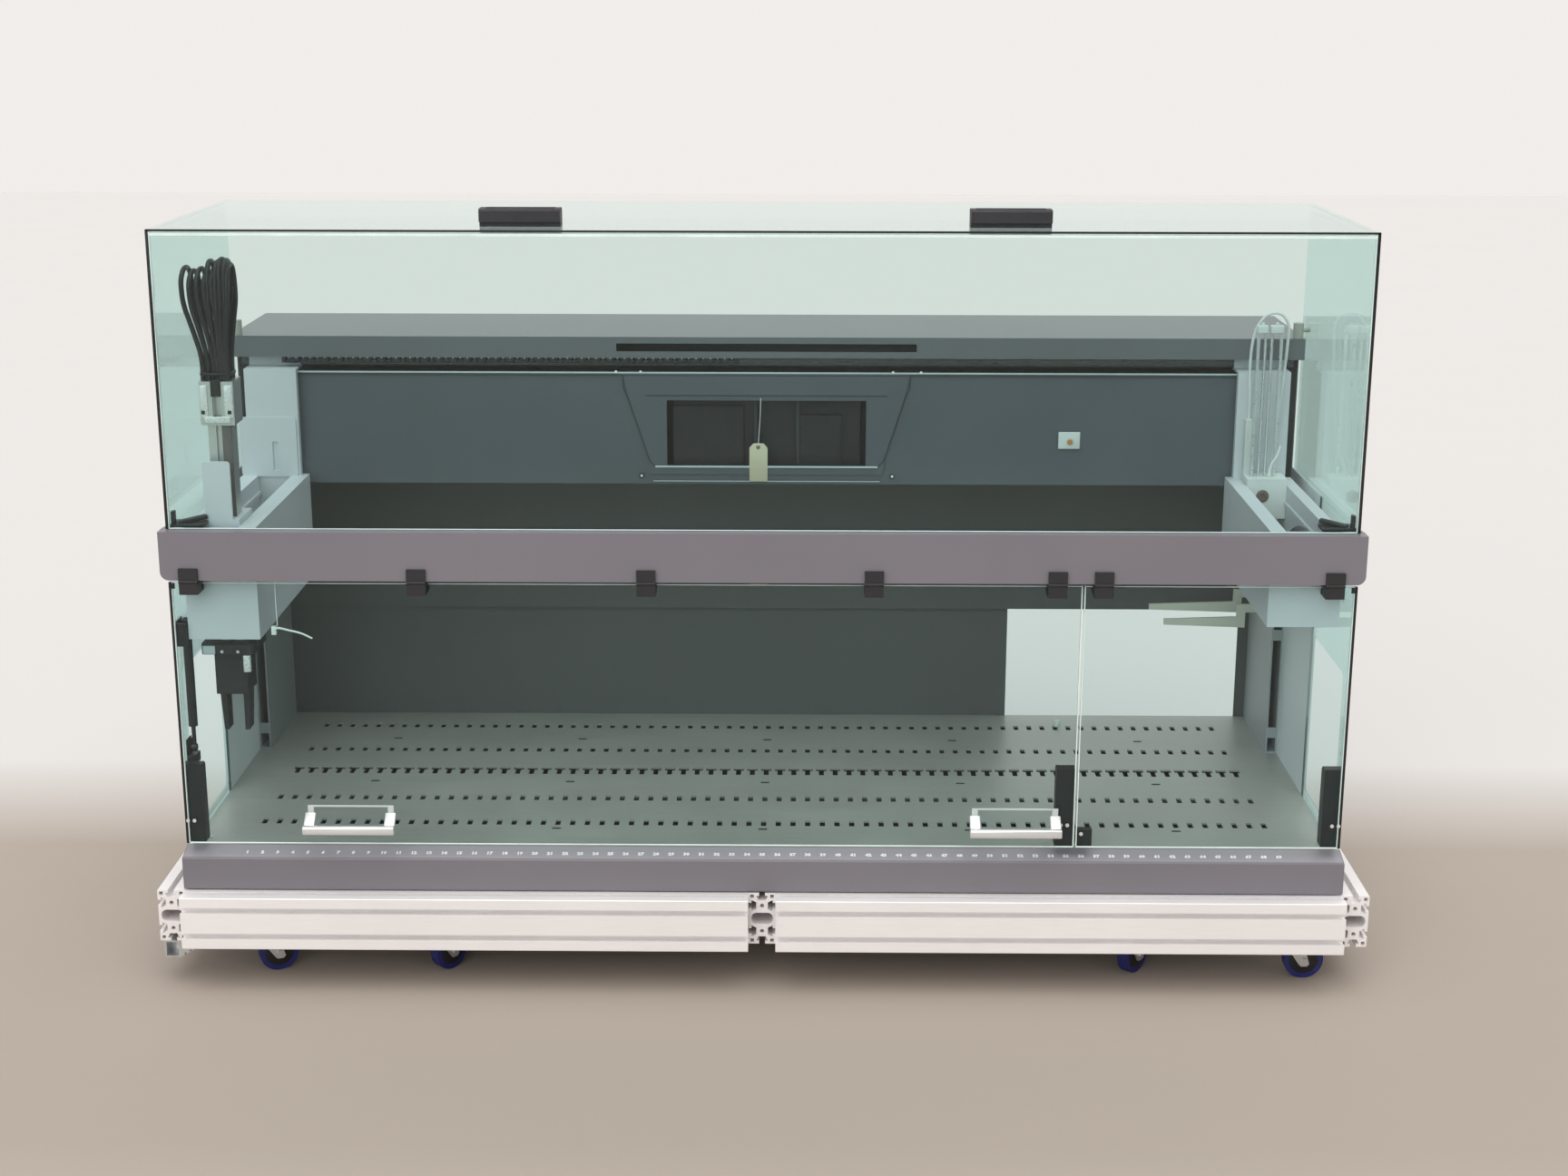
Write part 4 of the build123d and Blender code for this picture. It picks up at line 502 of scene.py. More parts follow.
EDGE_BLACK = moulded_plastic("edge_shadow_black", (0.008, 0.009, 0.010), 0.3)
# painted highlight: pale strips that stand for light caught along the glass edges
PAINTED_EDGE_HIGHLIGHT = moulded_plastic("painted_glass_edge_highlight", (0.72, 0.86, 0.82), 0.2, 300)
SEAM_DARK = moulded_plastic("seam_shadow", (0.030, 0.036, 0.042), 0.6)
# painted light: lighter grey for the lip's slope, which the overhead light falls on
SLOPE_PAINTED_LIGHT = powder_coat("slope_painted_light_coat", (0.30, 0.29, 0.315), 0.35)
# dark grey for the column's slide rail, and painted shade for the sheet behind the liquid tips' rods
DARK_GUIDE_AND_SHADE = powder_coat("dark_guide_and_painted_shade", (0.115, 0.100, 0.092), 0.45)
# painted shade: near black for the slot and the service bay
SLOT_PAINTED_SHADE = moulded_plastic("painted_slot_shade", (0.006, 0.006, 0.008), 0.7)
# pale grey for the indicator rim, chain rivets and head square, and painted highlight for the cover's edge
# lines
PALE_TRIM_AND_HIGHLIGHT = powder_coat("pale_trim_and_painted_highlight", (0.50, 0.56, 0.58), 0.35)
SILVER = drawn_metal("bright_screw", (0.80, 0.80, 0.79), (1, 1, 1), 0.3, 0.6, 0.06, 200)
PRINT_WHITE = moulded_plastic("white_print", (0.80, 0.80, 0.80), 0.5)
TAG_CREAM = moulded_plastic("card_tag", (0.60, 0.54, 0.40), 0.8, 300)
FRAME_PLASTIC = moulded_plastic("pale_grip_frame", (0.50, 0.55, 0.55), 0.35)
ORANGE = moulded_plastic("orange_lens", (0.55, 0.22, 0.07), 0.35)
TIE_WHITE = moulded_plastic("nylon_tie", (0.78, 0.79, 0.76), 0.45, 300)
COPPER_BROWN = moulded_plastic("motor_face_brown", (0.16, 0.12, 0.10), 0.4)


def strip_frame(name, boxes, material, body, radius=0.4, edge=0.3):
    """Several thin eased bars as one piece; each is a soft box between two corners."""
    return piece_from(name, *joined([soft_box(*box, radius, edge) for box in boxes]), material, body)


def hood_edges():
    """Dark outer edges of the hood's front sheet, and pale strips just inside them that are painted
    highlights.
    """
    y0, y1 = GLASS_FRONT - 0.8, GLASS_BACK + 0.3
    outer = [(*sorted((side * (HOOD_HALF + 0.6), side * (HOOD_HALF - 4.2))), y0, y1, HOOD_LOW, HOOD_HIGH)
             for side in (-1, 1)]
    outer.append((-HOOD_HALF, HOOD_HALF, y0, y0 + 3.0, HOOD_HIGH - 2.6, HOOD_HIGH + 0.6))
    strip_frame("hood_dark_edges", outer, EDGE_BLACK, "hood")
    # painted highlights: pale lines inside the dark edges and along the top and bottom
    inner = [(-HOOD_HALF + 4.3, -HOOD_HALF + 5.6, y0 + 0.2, y1, HOOD_LOW, HOOD_HIGH - 3),
             (HOOD_HALF - 5.6, HOOD_HALF - 4.3, y0 + 0.2, y1, HOOD_LOW, HOOD_HIGH - 3),
             (-HOOD_HALF + 5, HOOD_HALF - 5, y0 + 0.2, y0 + 1.6, HOOD_HIGH - 9.5, HOOD_HIGH - 5.0),
             (-HOOD_HALF + 6, HOOD_HALF - 6, y0 + 0.2, y0 + 1.6, HOOD_LOW + 0.2, HOOD_LOW + 1.6)]
    strip_frame("hood_painted_edge_highlights", inner, PAINTED_EDGE_HIGHLIGHT, "hood")


def door_edges():
    """Dark outer edges of the two doors, and pale strips along their cut edges that are painted highlights.
    """
    y0, y1 = GLASS_FRONT - 0.5, GLASS_BACK + 0.2
    strip_frame("door_left_dark_edge", [(DOOR_LEFT - 0.4, DOOR_LEFT + 3.8, y0, y1, DOOR_LOW, DOOR_HIGH)],
                EDGE_BLACK, "door_left")
    strip_frame("door_right_dark_edge", [(DOOR_RIGHT - 3.8, DOOR_RIGHT + 0.4, y0, y1, DOOR_LOW, DOOR_HIGH)],
                EDGE_BLACK, "door_right")
    for body, inner, outer, side in (("door_left", DOOR_SPLIT_LEFT, DOOR_LEFT + 4, -1),
                                     ("door_right", DOOR_SPLIT_RIGHT, DOOR_RIGHT - 4, 1)):
        low, high = sorted((inner, outer))
        # painted highlights: pale lines along the top, bottom and both upright edges
        bars = [(low, high, y0, y0 + 1.2, DOOR_HIGH - 1.4, DOOR_HIGH - 0.2),
                (low, high, y0, y0 + 1.2, DOOR_LOW + 0.3, DOOR_LOW + 2.4),
                (*sorted((inner, inner + side * 1.8)), y0, y1, DOOR_LOW, DOOR_HIGH),
                (*sorted((outer, outer - side * 1.4)), y0, y1, DOOR_LOW, DOOR_HIGH)]
        strip_frame(body + "_painted_edge_highlights", bars, PAINTED_EDGE_HIGHLIGHT, body)


def slope_point(across, x, lift=0.0):
    """Point on the lip's slope: a share across from its rear edge to its front edge, raised square to it."""
    start = np.array([x, LIP_SLOPE_BACK, DECK_MM])
    end = np.array([x, LIP_FRONT, DECK_MM - LIP_DROP])
    run = end - start
    normal = np.array([0.0, run[2], -run[1]])
    normal = normal / np.linalg.norm(normal) * (-1 if normal[2] < 0 else 1)
    return start + across * run + lift * normal, run / np.linalg.norm(run), normal


def grid_numbers():
    """Plain numbers printed along the slope of the front lip, one at each grid position."""
    pieces = []
    for number in range(1, GRID_COUNT + 1):
        curve = bpy.data.curves.new("grid_number", "FONT")
        curve.body = str(number)
        curve.size = NUMBER_SIZE
        curve.resolution_u = 1
        curve.offset = NUMBER_BOLDNESS
        curve.extrude = 0.00008
        curve.align_x = "CENTER"
        curve.align_y = "CENTER"
        text = bpy.data.objects.new("grid_number", curve)
        bpy.context.scene.collection.objects.link(text)
        x = (number - (GRID_COUNT + 1) / 2) * GRID_PITCH
        place, run, normal = slope_point(NUMBER_ACROSS, x, NUMBER_LIFT)
        turn = Matrix((Vector((1, 0, 0)), Vector(-run), Vector(normal))).transposed().to_4x4()
        text.matrix_world = Matrix.Translation(Vector(place * 0.001)) @ turn
        pieces.append(text)
    bpy.context.view_layer.update()
    points, faces, start = [], [], 0
    for text in pieces:
        mesh = text.to_mesh()
        world = text.matrix_world
        spots = [world @ v.co for v in mesh.vertices]
        points += [tuple(v) for v in spots]
        faces += [[start + i for i in face.vertices] for face in mesh.polygons]
        start += len(spots)
        text.to_mesh_clear()
    for text in pieces:
        curve = text.data
        bpy.data.objects.remove(text)
        bpy.data.curves.remove(curve)
    piece_from("grid_numbers", np.array(points) * 1000, faces, PRINT_WHITE, "workstation", soft_edges=False)


def lock_screws():
    """Pairs of bright screws low on every lock housing."""
    rows = (("door_left", ((-941.5, 29.5), (-931, 29.5), (488.5, 29), (499, 29))),
            ("door_right", ((931, 29.5), (941.5, 29.5), (522, 14))))
    for body, places in rows:
        screws = [socket_screw((x, GLASS_FRONT - 0.2, DECK_MM + 24 + h), (0, -1, 0), 3.1, 1.4)
                  for x, h in places]
        piece_from(body + "_lock_screws", *joined(screws), SILVER, body)


def beam_details():
    """Folded bay outline, painted highlights along the upper edge and the bay's edges, painted shade in the
    slot and the bay and along the seams, and screws of the beam's front cover.
    """
    y = COVER_FRONT
    lift = 0.6
    corners = [(-251, 952), (-251, 930), (-240, 905), (-206, 800), (-197, 791)]
    right = [(-x, z) for x, z in corners]
    lines = []
    for path in (corners, right):
        for (xa, za), (xb, zb) in zip(path, path[1:]):
            lines.append(soft_bar((xa, y - lift, za), (xb, y - lift, zb), 1.6, 1.2, 0.5, 0.2, 3))
    piece_from("bay_outline", *joined(lines), SEAM_DARK, "workstation")
    # painted highlights: pale lines along the cover's top edge and below the bay
    pale = [(-836, 836, y - 1.0, y + 1.4, 955.4, 957.9), (-196, 196, y - 2.3, y - 0.4, 788.2, 791.4),
            (-200, 200, y - 1.2, y + 0.2, 763.0, 764.2)]
    strip_frame("cover_painted_highlights", pale, PALE_TRIM_AND_HIGHLIGHT, "workstation")
    # painted shade: dark lines along the seams under the slot and in the bay
    shades = [(-212, 212, y - 0.8, y + 0.3, 915.6, 917.4), (-834, 834, y - 0.5, y + 0.3, 951.2, 952.4)]
    # painted shade: a thin black sheet on the cover's top face in the slot, so the slot reads as deep shade
    strip_frame("slot_painted_shade", [(-834, 834, y + 3.5, y + 46, 958.0, 958.5)], SLOT_PAINTED_SHADE,
                "workstation", 0.2, 0.1)
    module_half = level("control_module", 1, 0)
    # painted shade: black sheets inside the service bay stand for the shade in the opening
    painted_shade = [(-212, -module_half - 1, y + 40, y + 43, 786, 930),
             (module_half + 1, 212, y + 40, y + 43, 786, 930),
             (-206, 206, y + 40, y + 43, 911.5, 934), (-206, 206, y + 10, y + 42, 930, 933)]
    strip_frame("service_bay_painted_shade", painted_shade, SLOT_PAINTED_SHADE, "workstation", 0.8, 0.6)
    ribs = [(-22, -16, y + 17, y + 20.5, 792, 908), (52, 58, y + 17, y + 20.5, 792, 908)]
    strip_frame("service_bay_ribs", ribs, SEAM_DARK, "workstation", 0.8, 0.6)
    strip_frame("cover_seam_shade_lines", shades, SEAM_DARK, "workstation")
    heads = [socket_screw((x, y - 0.3, BAY_SCREW_Z), (0, -1, 0), 4.6, 1.2) for x in BAY_SCREW_XS]
    piece_from("cover_screw_rings", *joined(heads), EDGE_BLACK, "workstation")
    dots = [turned((x, y - 1.4, BAY_SCREW_Z), (0, -1, 0), [(2.3, 0), (2.3, 0.5), (1.8, 0.8), (0.05, 0.9)], 14)
            for x in BAY_SCREW_XS]
    dots += [turned((x, y - 0.6, 958.5), (0, -1, 0), [(2.4, 0), (2.4, 0.8), (1.6, 1.3), (0.05, 1.4)], 12)
             for x in (-263, -220, 221, 270)]
    piece_from("cover_screw_centres", *joined(dots), PRINT_WHITE, "workstation")


def indicator_box():
    """Low white switch plate with a round orange lens, flat enough for the arms to pass in front of it."""
    y = COVER_FRONT
    plate = soft_box(513, 551, y - 1.9, y + 0.5, 824, 854, 1.1, 1.0, 5)
    piece_from("indicator_box", *plate, WHITE_PLASTIC, "workstation")
    rim = turned((SWITCH_X, y - 1.8, SWITCH_Z), (0, -1, 0),
                 [(7.6, 0), (7.6, 0.2), (6.6, 0.35), (0.1, 0.4)], 24)
    piece_from("indicator_rim", *rim, PALE_TRIM_AND_HIGHLIGHT, "workstation")
    lens = turned((SWITCH_X, y - 2.1, SWITCH_Z), (0, -1, 0),
                  [(5.2, 0), (5.0, 0.3), (3.2, 0.5), (0.1, 0.6)], 24)
    piece_from("indicator_lens", *lens, ORANGE, "workstation")


def hanging_tag():
    """Blank card tag on a string, with clipped upper corners and a round eyelet."""
    y = COVER_FRONT - 1.2
    outline = np.array([(-30, 764), (2, 764), (2, 824), (-5, 832), (-23, 832), (-30, 824)], float)
    rings = []
    for depth, inset in ((0.0, 0.4), (0.4, 0.0), (0.9, 0.0), (1.3, 0.4)):
        centre = outline.mean(0)
        shape = centre + (outline - centre) * (1 - inset / 30)
        rings.append(np.stack([shape[:, 0], np.full(len(shape), y - depth), shape[:, 1]], 1))
    piece_from("card_tag", *loft(np.array(rings)[:, ::-1]), TAG_CREAM, "workstation")
    ring = [(3.6, 0), (3.6, 0.2), (2.4, 0.35), (1.4, 0.3), (0.05, 0.25)]
    eyelet = turned((-14.5, y - 1.2, 825), (0, -1, 0), ring, 20)
    piece_from("tag_eyelet", *eyelet, COPPER_BROWN, "workstation")
    string = smooth_line([(-14.5, y - 0.9, 826), (-13, y - 0.9, 850),
                          (-11, y - 0.5, 880), (-10, y + 1, 912)], 24)
    piece_from("tag_string", *tube(string, 0.6, 8), TIE_WHITE, "workstation")


def chain_rivets():
    """A row of bright rivets over a row of dark windows along the chain's links."""
    x0, x1 = level("cable_chain", 0, 0), level("cable_chain", 1, 0)
    z0, z1 = level("cable_chain", 0, 2), level("cable_chain", 1, 2)
    y = level("cable_chain", 0, 1)
    xs = np.arange(x0 + CHAIN_STEP, x1 - 6, CHAIN_STEP)
    dots = [turned((x, y, z1 - 3.4), (0, -1, 0), [(1.5, 0), (1.4, 0.5), (0.05, 0.7)], 8) for x in xs]
    piece_from("chain_rivets", *joined(dots), PALE_TRIM_AND_HIGHLIGHT, "workstation")
    arches = [soft_box(x - 4.6, x + 4.6, y - 0.5, y + 0.3, z0 + 2.4, z0 + 6.6, 1.4, 0.3, 3) for x in xs]
    piece_from("chain_windows", *joined(arches), SEAM_DARK, "workstation")


def deck_fasteners():
    """Low slotted marks and a few round-headed screws on the worktable."""
    marks = [(x, y) for x in (-699, -350, -1, 348, 697) for y in (218.5, -17.5, -248)]
    slots = [soft_box(x - 8, x + 8, y - 3, y + 3, DECK_MM, DECK_MM + 0.5, 2.8, 0.2, 4) for x, y in marks]
    piece_from("deck_slot_marks", *joined(slots), SEAM_DARK, "workstation")
    knob = turned((554, 309, DECK_MM), (0, 0, 1), [(7, 0), (7.2, 2), (7.2, 8), (5.4, 11), (0.1, 12)], 28)
    piece_from("deck_knob", *knob, WHITE_PLASTIC, "workstation")
    corner = [socket_screw((side * 925, -298, DECK_MM), (0, 0, 1), 4.2, 2.4) for side in (-1, 1)]
    piece_from("deck_corner_screws", *joined(corner), SILVER, "workstation")


def cable_ties():
    """Cut tails of nylon ties: one on the gripper arm's side, one on the liquid arm's tubes."""
    left = smooth_line([(-786, -346, 609), (-778, -347, 612), (-760, -347, 608),
                        (-742, -346, 603), (-725, -344, 594)], 30)
    piece_from("gripper_tie_tail", *tube(left, np.linspace(1.9, 1.5, 30), 8), TIE_WHITE, "gripper_arm")
    thread = smooth_line([(-779, -348.6, 698), (-779.4, -348.8, 660), (-779, -348.6, 616)], 12)
    piece_from("gripper_tie_thread", *tube(thread, 0.8, 8), TIE_WHITE, "gripper_arm")
    head = soft_box(-790, -782, -347, -339, 600, 614, 1.5, 0.8, 4)
    piece_from("gripper_tie_head", *head, TIE_WHITE, "gripper_arm")
    right = smooth_line([(873.5, 18, 790), (875.2, 16, 807), (885, 14, 826), (889, 12, 843)], 24)
    piece_from("tube_tie_tail", *tube(right, np.linspace(2.4, 1.8, 24), 8), TIE_WHITE, "liquid_head")


def hood_grip_ribs():
    """Shallow raised frame and fine ribs on the upper face of both hood grips."""
    top = level("hood_handles", 1, 2)
    front, back = level("hood_handles", 0, 1), level("hood_handles", 1, 1)
    bars = []
    for x in HOOD_GRIP_XS:
        for y in np.linspace(front + 7, back - 7, 4):
            bars.append((x - HOOD_GRIP_HALF, x + HOOD_GRIP_HALF, y - 1.1, y + 1.1, top - 0.4, top + 0.5))
    strip_frame("hood_grip_ribs", bars, BLACK_PLASTIC, "hood")


def corner_hooks():
    """Dark seat hooks behind the glass at both lower corners of the hood."""
    y = GLASS_BACK
    for side, name in ((-1, "left"), (1, "right")):
        plate = soft_box(*sorted((side * 940, side * 886)), y + 3, y + 40,
                         HOOD_LOW + 0.5, HOOD_LOW + 5.5, 3, 0.8, 4)
        lug = soft_box(*sorted((side * 938, side * 932)), y + 3, y + 16,
                       HOOD_LOW + 5, HOOD_LOW + 26, 2, 0.8, 4)
        wedge = soft_bar((side * 928, y + 14, HOOD_LOW + 6), (side * 888, y + 34, HOOD_LOW + 12),
                         12, 7, 2, 0.8, 4)
        piece_from(f"hood_seat_hook_{name}", *joined([plate, lug, wedge]), BLACK_PLASTIC, "hood")


def column_details():
    """Silver jaws, dark centre and screws of the clamp at the gripper column's top, and a dark slide rail."""
    x0, x1 = level("gripper_column", 0, 0), level("gripper_column", 1, 0)
    y0 = level("gripper_column", 0, 1)
    top = level("gripper_column", 1, 2)
    middle = (x0 + x1) / 2
    jaws = [soft_box(x0 + 1, x0 + 13, y0 - 2.0, y0 + 1, top - 58, top - 6, 1.2, 0.8, 4),
            soft_box(x1 - 15, x1 - 1, y0 - 2.0, y0 + 1, top - 58, top - 6, 1.2, 0.8, 4),
            soft_box(x0 + 6, x1 - 6, y0 - 2.6, y0 + 1, top - 66, top - 56, 1.2, 0.8, 4)]
    piece_from("clamp_jaws", *joined(jaws), SILVER, "gripper_lift")
    core = [soft_box(middle - 9, middle + 8, y0 - 1.0, y0 + 6, top - 24, top + 3, 1.5, 0.8, 4),
            soft_box(x0 + 2, x0 + 8, y0 - 2.8, y0 + 1, top - 52, top - 46, 0.8, 0.4, 3),
            soft_box(x1 - 10, x1 - 4, y0 - 2.8, y0 + 1, top - 52, top - 46, 0.8, 0.4, 3)]
    piece_from("clamp_core", *joined(core), EDGE_BLACK, "gripper_lift")
    rail = soft_box(middle + 4, x1 - 7.5, y0 + 5.2, y0 + 8, 590, top - 72, 0.8, 0.4, 3)
    piece_from("column_slide_rail", *rail, DARK_GUIDE_AND_SHADE, "gripper_lift")


def cable_bundle():
    """Further looped cables that fill the bundle: closed loops through the clamp, each a smooth curve."""
    x0, x1 = level("gripper_column", 0, 0), level("gripper_column", 1, 0)
    y0, y1 = level("gripper_column", 0, 1), level("gripper_column", 1, 1)
    top = level("gripper_column", 1, 2)
    cx, cy = (x0 + x1) / 2, (y0 + y1) / 2
    strands = []
    shapes = ((7, 9, 186), (11, 15, 190), (15, 22, 188), (18, 27, 182), (2, -3, 187))
    for i, (start, spread, high) in enumerate(shapes):
        sway = 1.5 * (i % 3 - 1)
        line = smooth_line([(cx + start, cy - 15, top - 3), (cx + start - 1, cy - 16, top + 40),
                            ((2 * cx + start + spread) / 2 - 1, cy - 21 + sway, top + 85),
                            (cx + spread, cy - 26 + sway, top + 128), (cx + spread, cy - 20, top + high - 12),
                            (cx + spread, cy, top + high), (cx + spread, cy + 20, top + high - 12),
                            (cx + spread, cy + 25, top + 126),
                            ((2 * cx + start + spread) / 2, cy + 19, top + 84),
                            (cx + start, cy + 14, top + 38), (cx + start, cy + 13, top - 3)], 70)
        strands.append(tube(line, 4.3, 10))
    piece_from("cable_bundle", *joined(strands), CABLE_BLACK, "gripper_lift")
    band = soft_box(cx - 27, cx + 24, cy - 22, cy + 20, top + 8, top + 13, 8, 1.2, 5)
    piece_from("cable_band", *band, EDGE_BLACK, "gripper_lift")


def head_details():
    """Light square on the head plate's end, bright screws and a light actuator on its right."""
    x0, y0 = level("gripper_head", 0, 0), level("gripper_head", 0, 1)
    x1, top = level("gripper_head", 1, 0), level("gripper_head", 1, 2)
    label = soft_box(x0 + 3, x0 + 23, y0 - 1.0, y0 + 0.6, top - 16, top - 2, 1.5, 0.5, 4)
    piece_from("head_light_square", *label, PALE_TRIM_AND_HIGHLIGHT, "gripper_wrist")
    screws = [socket_screw((x, y0 - 0.2, z), (0, -1, 0), 2.6, 1.2, 12)
              for x, z in ((x0 + 34, top - 12), (x1 - 26, top - 12))]
    piece_from("head_screws", *joined(screws), SILVER, "gripper_wrist")
    actuator = soft_box(x1 - 18, x1 - 6, y0 - 3, y0 + 5, top - 46, top - 18, 2, 1, 5)
    piece_from("head_actuator", *actuator, SILVER, "gripper_wrist")


def number_lip():
    """Folded front strip: the profile of slope, face and return carried along X, closed at both ends."""
    x0, x1 = level("front_lip", 0, 0), level("front_lip", 1, 0)
    low, high = level("front_lip", 0, 2), level("front_lip", 1, 2)
    bend = high - LIP_DROP
    outline = np.array([(LIP_SLOPE_BACK, high), (LIP_FRONT + 2.5, bend + 0.7), (LIP_FRONT + 0.8, bend - 0.2),
                        (LIP_FRONT, bend - 1.8), (LIP_FRONT, low + 2),
                        (LIP_FRONT + 0.6, low + 0.5), (LIP_FRONT + 2, low), (LIP_SLOPE_BACK, low)])
    centre = outline.mean(0)
    rings = []
    for x, inset in ((x0, 1.2), (x0 + 0.4, 0.4), (x0 + 1.2, 0),
                     (x1 - 1.2, 0), (x1 - 0.4, 0.4), (x1, 1.2)):
        shape = centre + (outline - centre) * (1 - inset / 33)
        rings.append(np.stack([np.full(len(shape), x), shape[:, 0], shape[:, 1]], 1))
    lip = piece_from("number_lip", *loft(np.array(rings)[:, ::-1]), FASCIA_GREY, "workstation",
                     soft_edges=False)
    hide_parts("front_lip")
    # painted light: a lighter grey band over the slope stands for the light falling on it from above
    corners = ((0.05, 0.05), (0.05, 0.45), (0.93, 0.45), (0.93, 0.05))
    strip = [[slope_point(share, x, lift)[0] for share, lift in corners] for x in (x0 + 2, x1 - 2)]
    piece_from("slope_painted_light", *loft(np.array(strip)), SLOPE_PAINTED_LIGHT, "workstation", soft_edges=False)


def door_grips():
    """Door handles: a rounded bar on two raked brackets, with a pale frame between them on the glass."""
    front, glass = level("door_handles", 0, 1), GLASS_FRONT
    top = level("door_handles", 1, 2)
    parts, frames = [], []
    for x0, x1 in DOOR_GRIP_SPANS:
        parts.append(soft_bar((x0, front + 6, top - 7.5), (x1, front + 6, top - 7.5),
                              12, 15, 4.5, 1.2, 6, side=(0, 1, 0)))
        for x in (x0 + 9, x1 - 9):
            parts.append(soft_bar((x, front + 10, top - 5), (x, glass - 1.5, top + 12),
                                  18, 6, 2, 0.8, 4, side=(1, 0, 0)))
        frames += [(x0 + 4, x0 + 14, glass - 2.2, glass - 0.1, top - 4, top + 26),
                   (x1 - 14, x1 - 4, glass - 2.2, glass - 0.1, top - 4, top + 26),
                   (x0 + 14, x1 - 14, glass - 2.2, glass - 0.1, top + 23, top + 26)]
    grip = piece_from("door_grip_bars", *joined(parts), HANDLE_METAL, "door_left")
    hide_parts("door_handles")
    strip_frame("door_grip_frames", frames, FRAME_PLASTIC, "door_left", 0.8, 0.5)


def spring_details():
    """Black foot block of the gas spring, and bright screws beside its upper eye."""
    x0, x1 = level("gas_spring_anchor", 0, 0), level("gas_spring_rod", 1, 0)
    y0, y1 = level("gas_spring_anchor", 0, 1), level("gas_spring_anchor", 1, 1)
    z0 = level("gas_spring_anchor", 0, 2)
    foot = [soft_box(x0 + 0.3, x0 + 2.5, y0 - 3, y1 + 3, z0 - 12, z0 + 30, 1, 0.6, 4),
            soft_box(x0 + 1, x1 + 1, y0 - 3, y1 + 3, z0 - 12, z0 + 4, 1.5, 1, 4)]
    piece_from("gas_spring_foot", *joined(foot), BLACK_PLASTIC, "workstation")
    front, high = level("gas_spring_barrel", 0, 1) - 0.2, level("gas_spring_barrel", 1, 2)
    pin = [(3.0, 0), (3.0, 0.8), (2.2, 1.4), (0.05, 1.6)]
    dots = [turned((x1 - 6, front, high - drop), (0, -1, 0), pin, 16) for drop in (12, 26)]
    piece_from("gas_spring_pins", *joined(dots), PRINT_WHITE, "spring_barrel")


def door_corner_stops():
    """Small black stops at the outer top corners of the doors."""
    for body, edge, side in (("door_left", DOOR_LEFT, 1), ("door_right", DOOR_RIGHT, -1)):
        x0, x1 = sorted((edge + side * 4.5, edge + side * 10))
        stop = soft_box(x0, x1, GLASS_FRONT - 3.2, GLASS_FRONT - 0.1,
                        DOOR_HIGH - 10, DOOR_HIGH - 1, 1, 0.6, 4)
        piece_from(body + "_corner_stop", *stop, BLACK_PLASTIC, body)


def liquid_details():
    """White caps on the tips' rods, a dark sheet behind them that paints shade over the tower plate, and a
    round cover on the carriage.
    """
    top = level("liquid_tip_1", 1, 2)
    for name, body in (("liquid_tip_1", "liquid_tip_a"), ("liquid_tip_2", "liquid_tip_b")):
        x0, x1 = level(name, 0, 0), level(name, 1, 0)
        y0, y1 = level(name, 0, 1), level(name, 1, 1)
        cap = soft_box(x0 - 0.8, x1 + 0.8, y0 - 2.5, y1 + 2.5, top - 12, top + 1.5, 3, 1.6, 5)
        nub = turned(((x0 + x1) / 2, (y0 + y1) / 2, top + 1), (0, 0, 1),
                     [(3, 0), (3, 4), (2.2, 5), (0.05, 5.2)], 16)
        piece_from(name + "_cap", *joined([cap, nub]), WHITE_PLASTIC, body)
    # painted shade: a thin dark sheet over the pale tower plate behind the rods
    panel = soft_box(829, 904, 61.5, 64.5, 778, 957, 2, 0.8, 4)
    piece_from("liquid_guide_painted_shade", *panel, DARK_GUIDE_AND_SHADE, "liquid_arm")
    face = level("liquid_carriage", 0, 1)
    profile = [(11, 0), (11, 1.6), (9.5, 2.4), (5, 2.4), (4.6, 1.2), (0.05, 1.0)]
    disc = turned((861, face + 0.2, 757), (0, -1, 0), profile, 32)
    piece_from("carriage_disc", *disc, COPPER_BROWN, "liquid_head")


hood_edges()
number_lip()
door_grips()
spring_details()
door_corner_stops()
liquid_details()
door_edges()
grid_numbers()
lock_screws()
beam_details()
indicator_box()
hanging_tag()
chain_rivets()
deck_fasteners()
cable_ties()
hood_grip_ribs()
corner_hooks()
column_details()
cable_bundle()
head_details()


# --- stage, light and camera ---

def plain_floor():
    """Flat floor, pale and even far behind the object, and darker near it as painted shade."""
    points = [(x * FLOOR_REACH, y * FLOOR_REACH, 0) for x, y in ((-1, -1), (1, -1), (1, 1), (-1, 1))]
    mesh = bpy.data.meshes.new("floor")
    mesh.from_pydata(points, [], [(0, 1, 2, 3)])
    floor = bpy.data.objects.new("floor", mesh)
    bpy.context.scene.collection.objects.link(floor)
    f = Finish("pale_floor", (0.60, 0.555, 0.52), 0.8)
    behind = f.span(f.axis("Y"), 0, 1, 0.26, 0.75)
    # painted shade: the floor is darker from in front of the object to just behind it
    near = f.span(f.axis("Y"), 1, 0, -1.9, -0.9)
    shade = f.blend(near, (0.395, 0.335, 0.285), (0.56, 0.50, 0.45))
    shade = f.blend(behind, shade, (0.66, 0.63, 0.61))
    f.link(shade, f.shader.inputs["Base Color"])
    f.rough(f.noise(3, 4), 0.7, 0.9)
    mesh.materials.append(f.material)


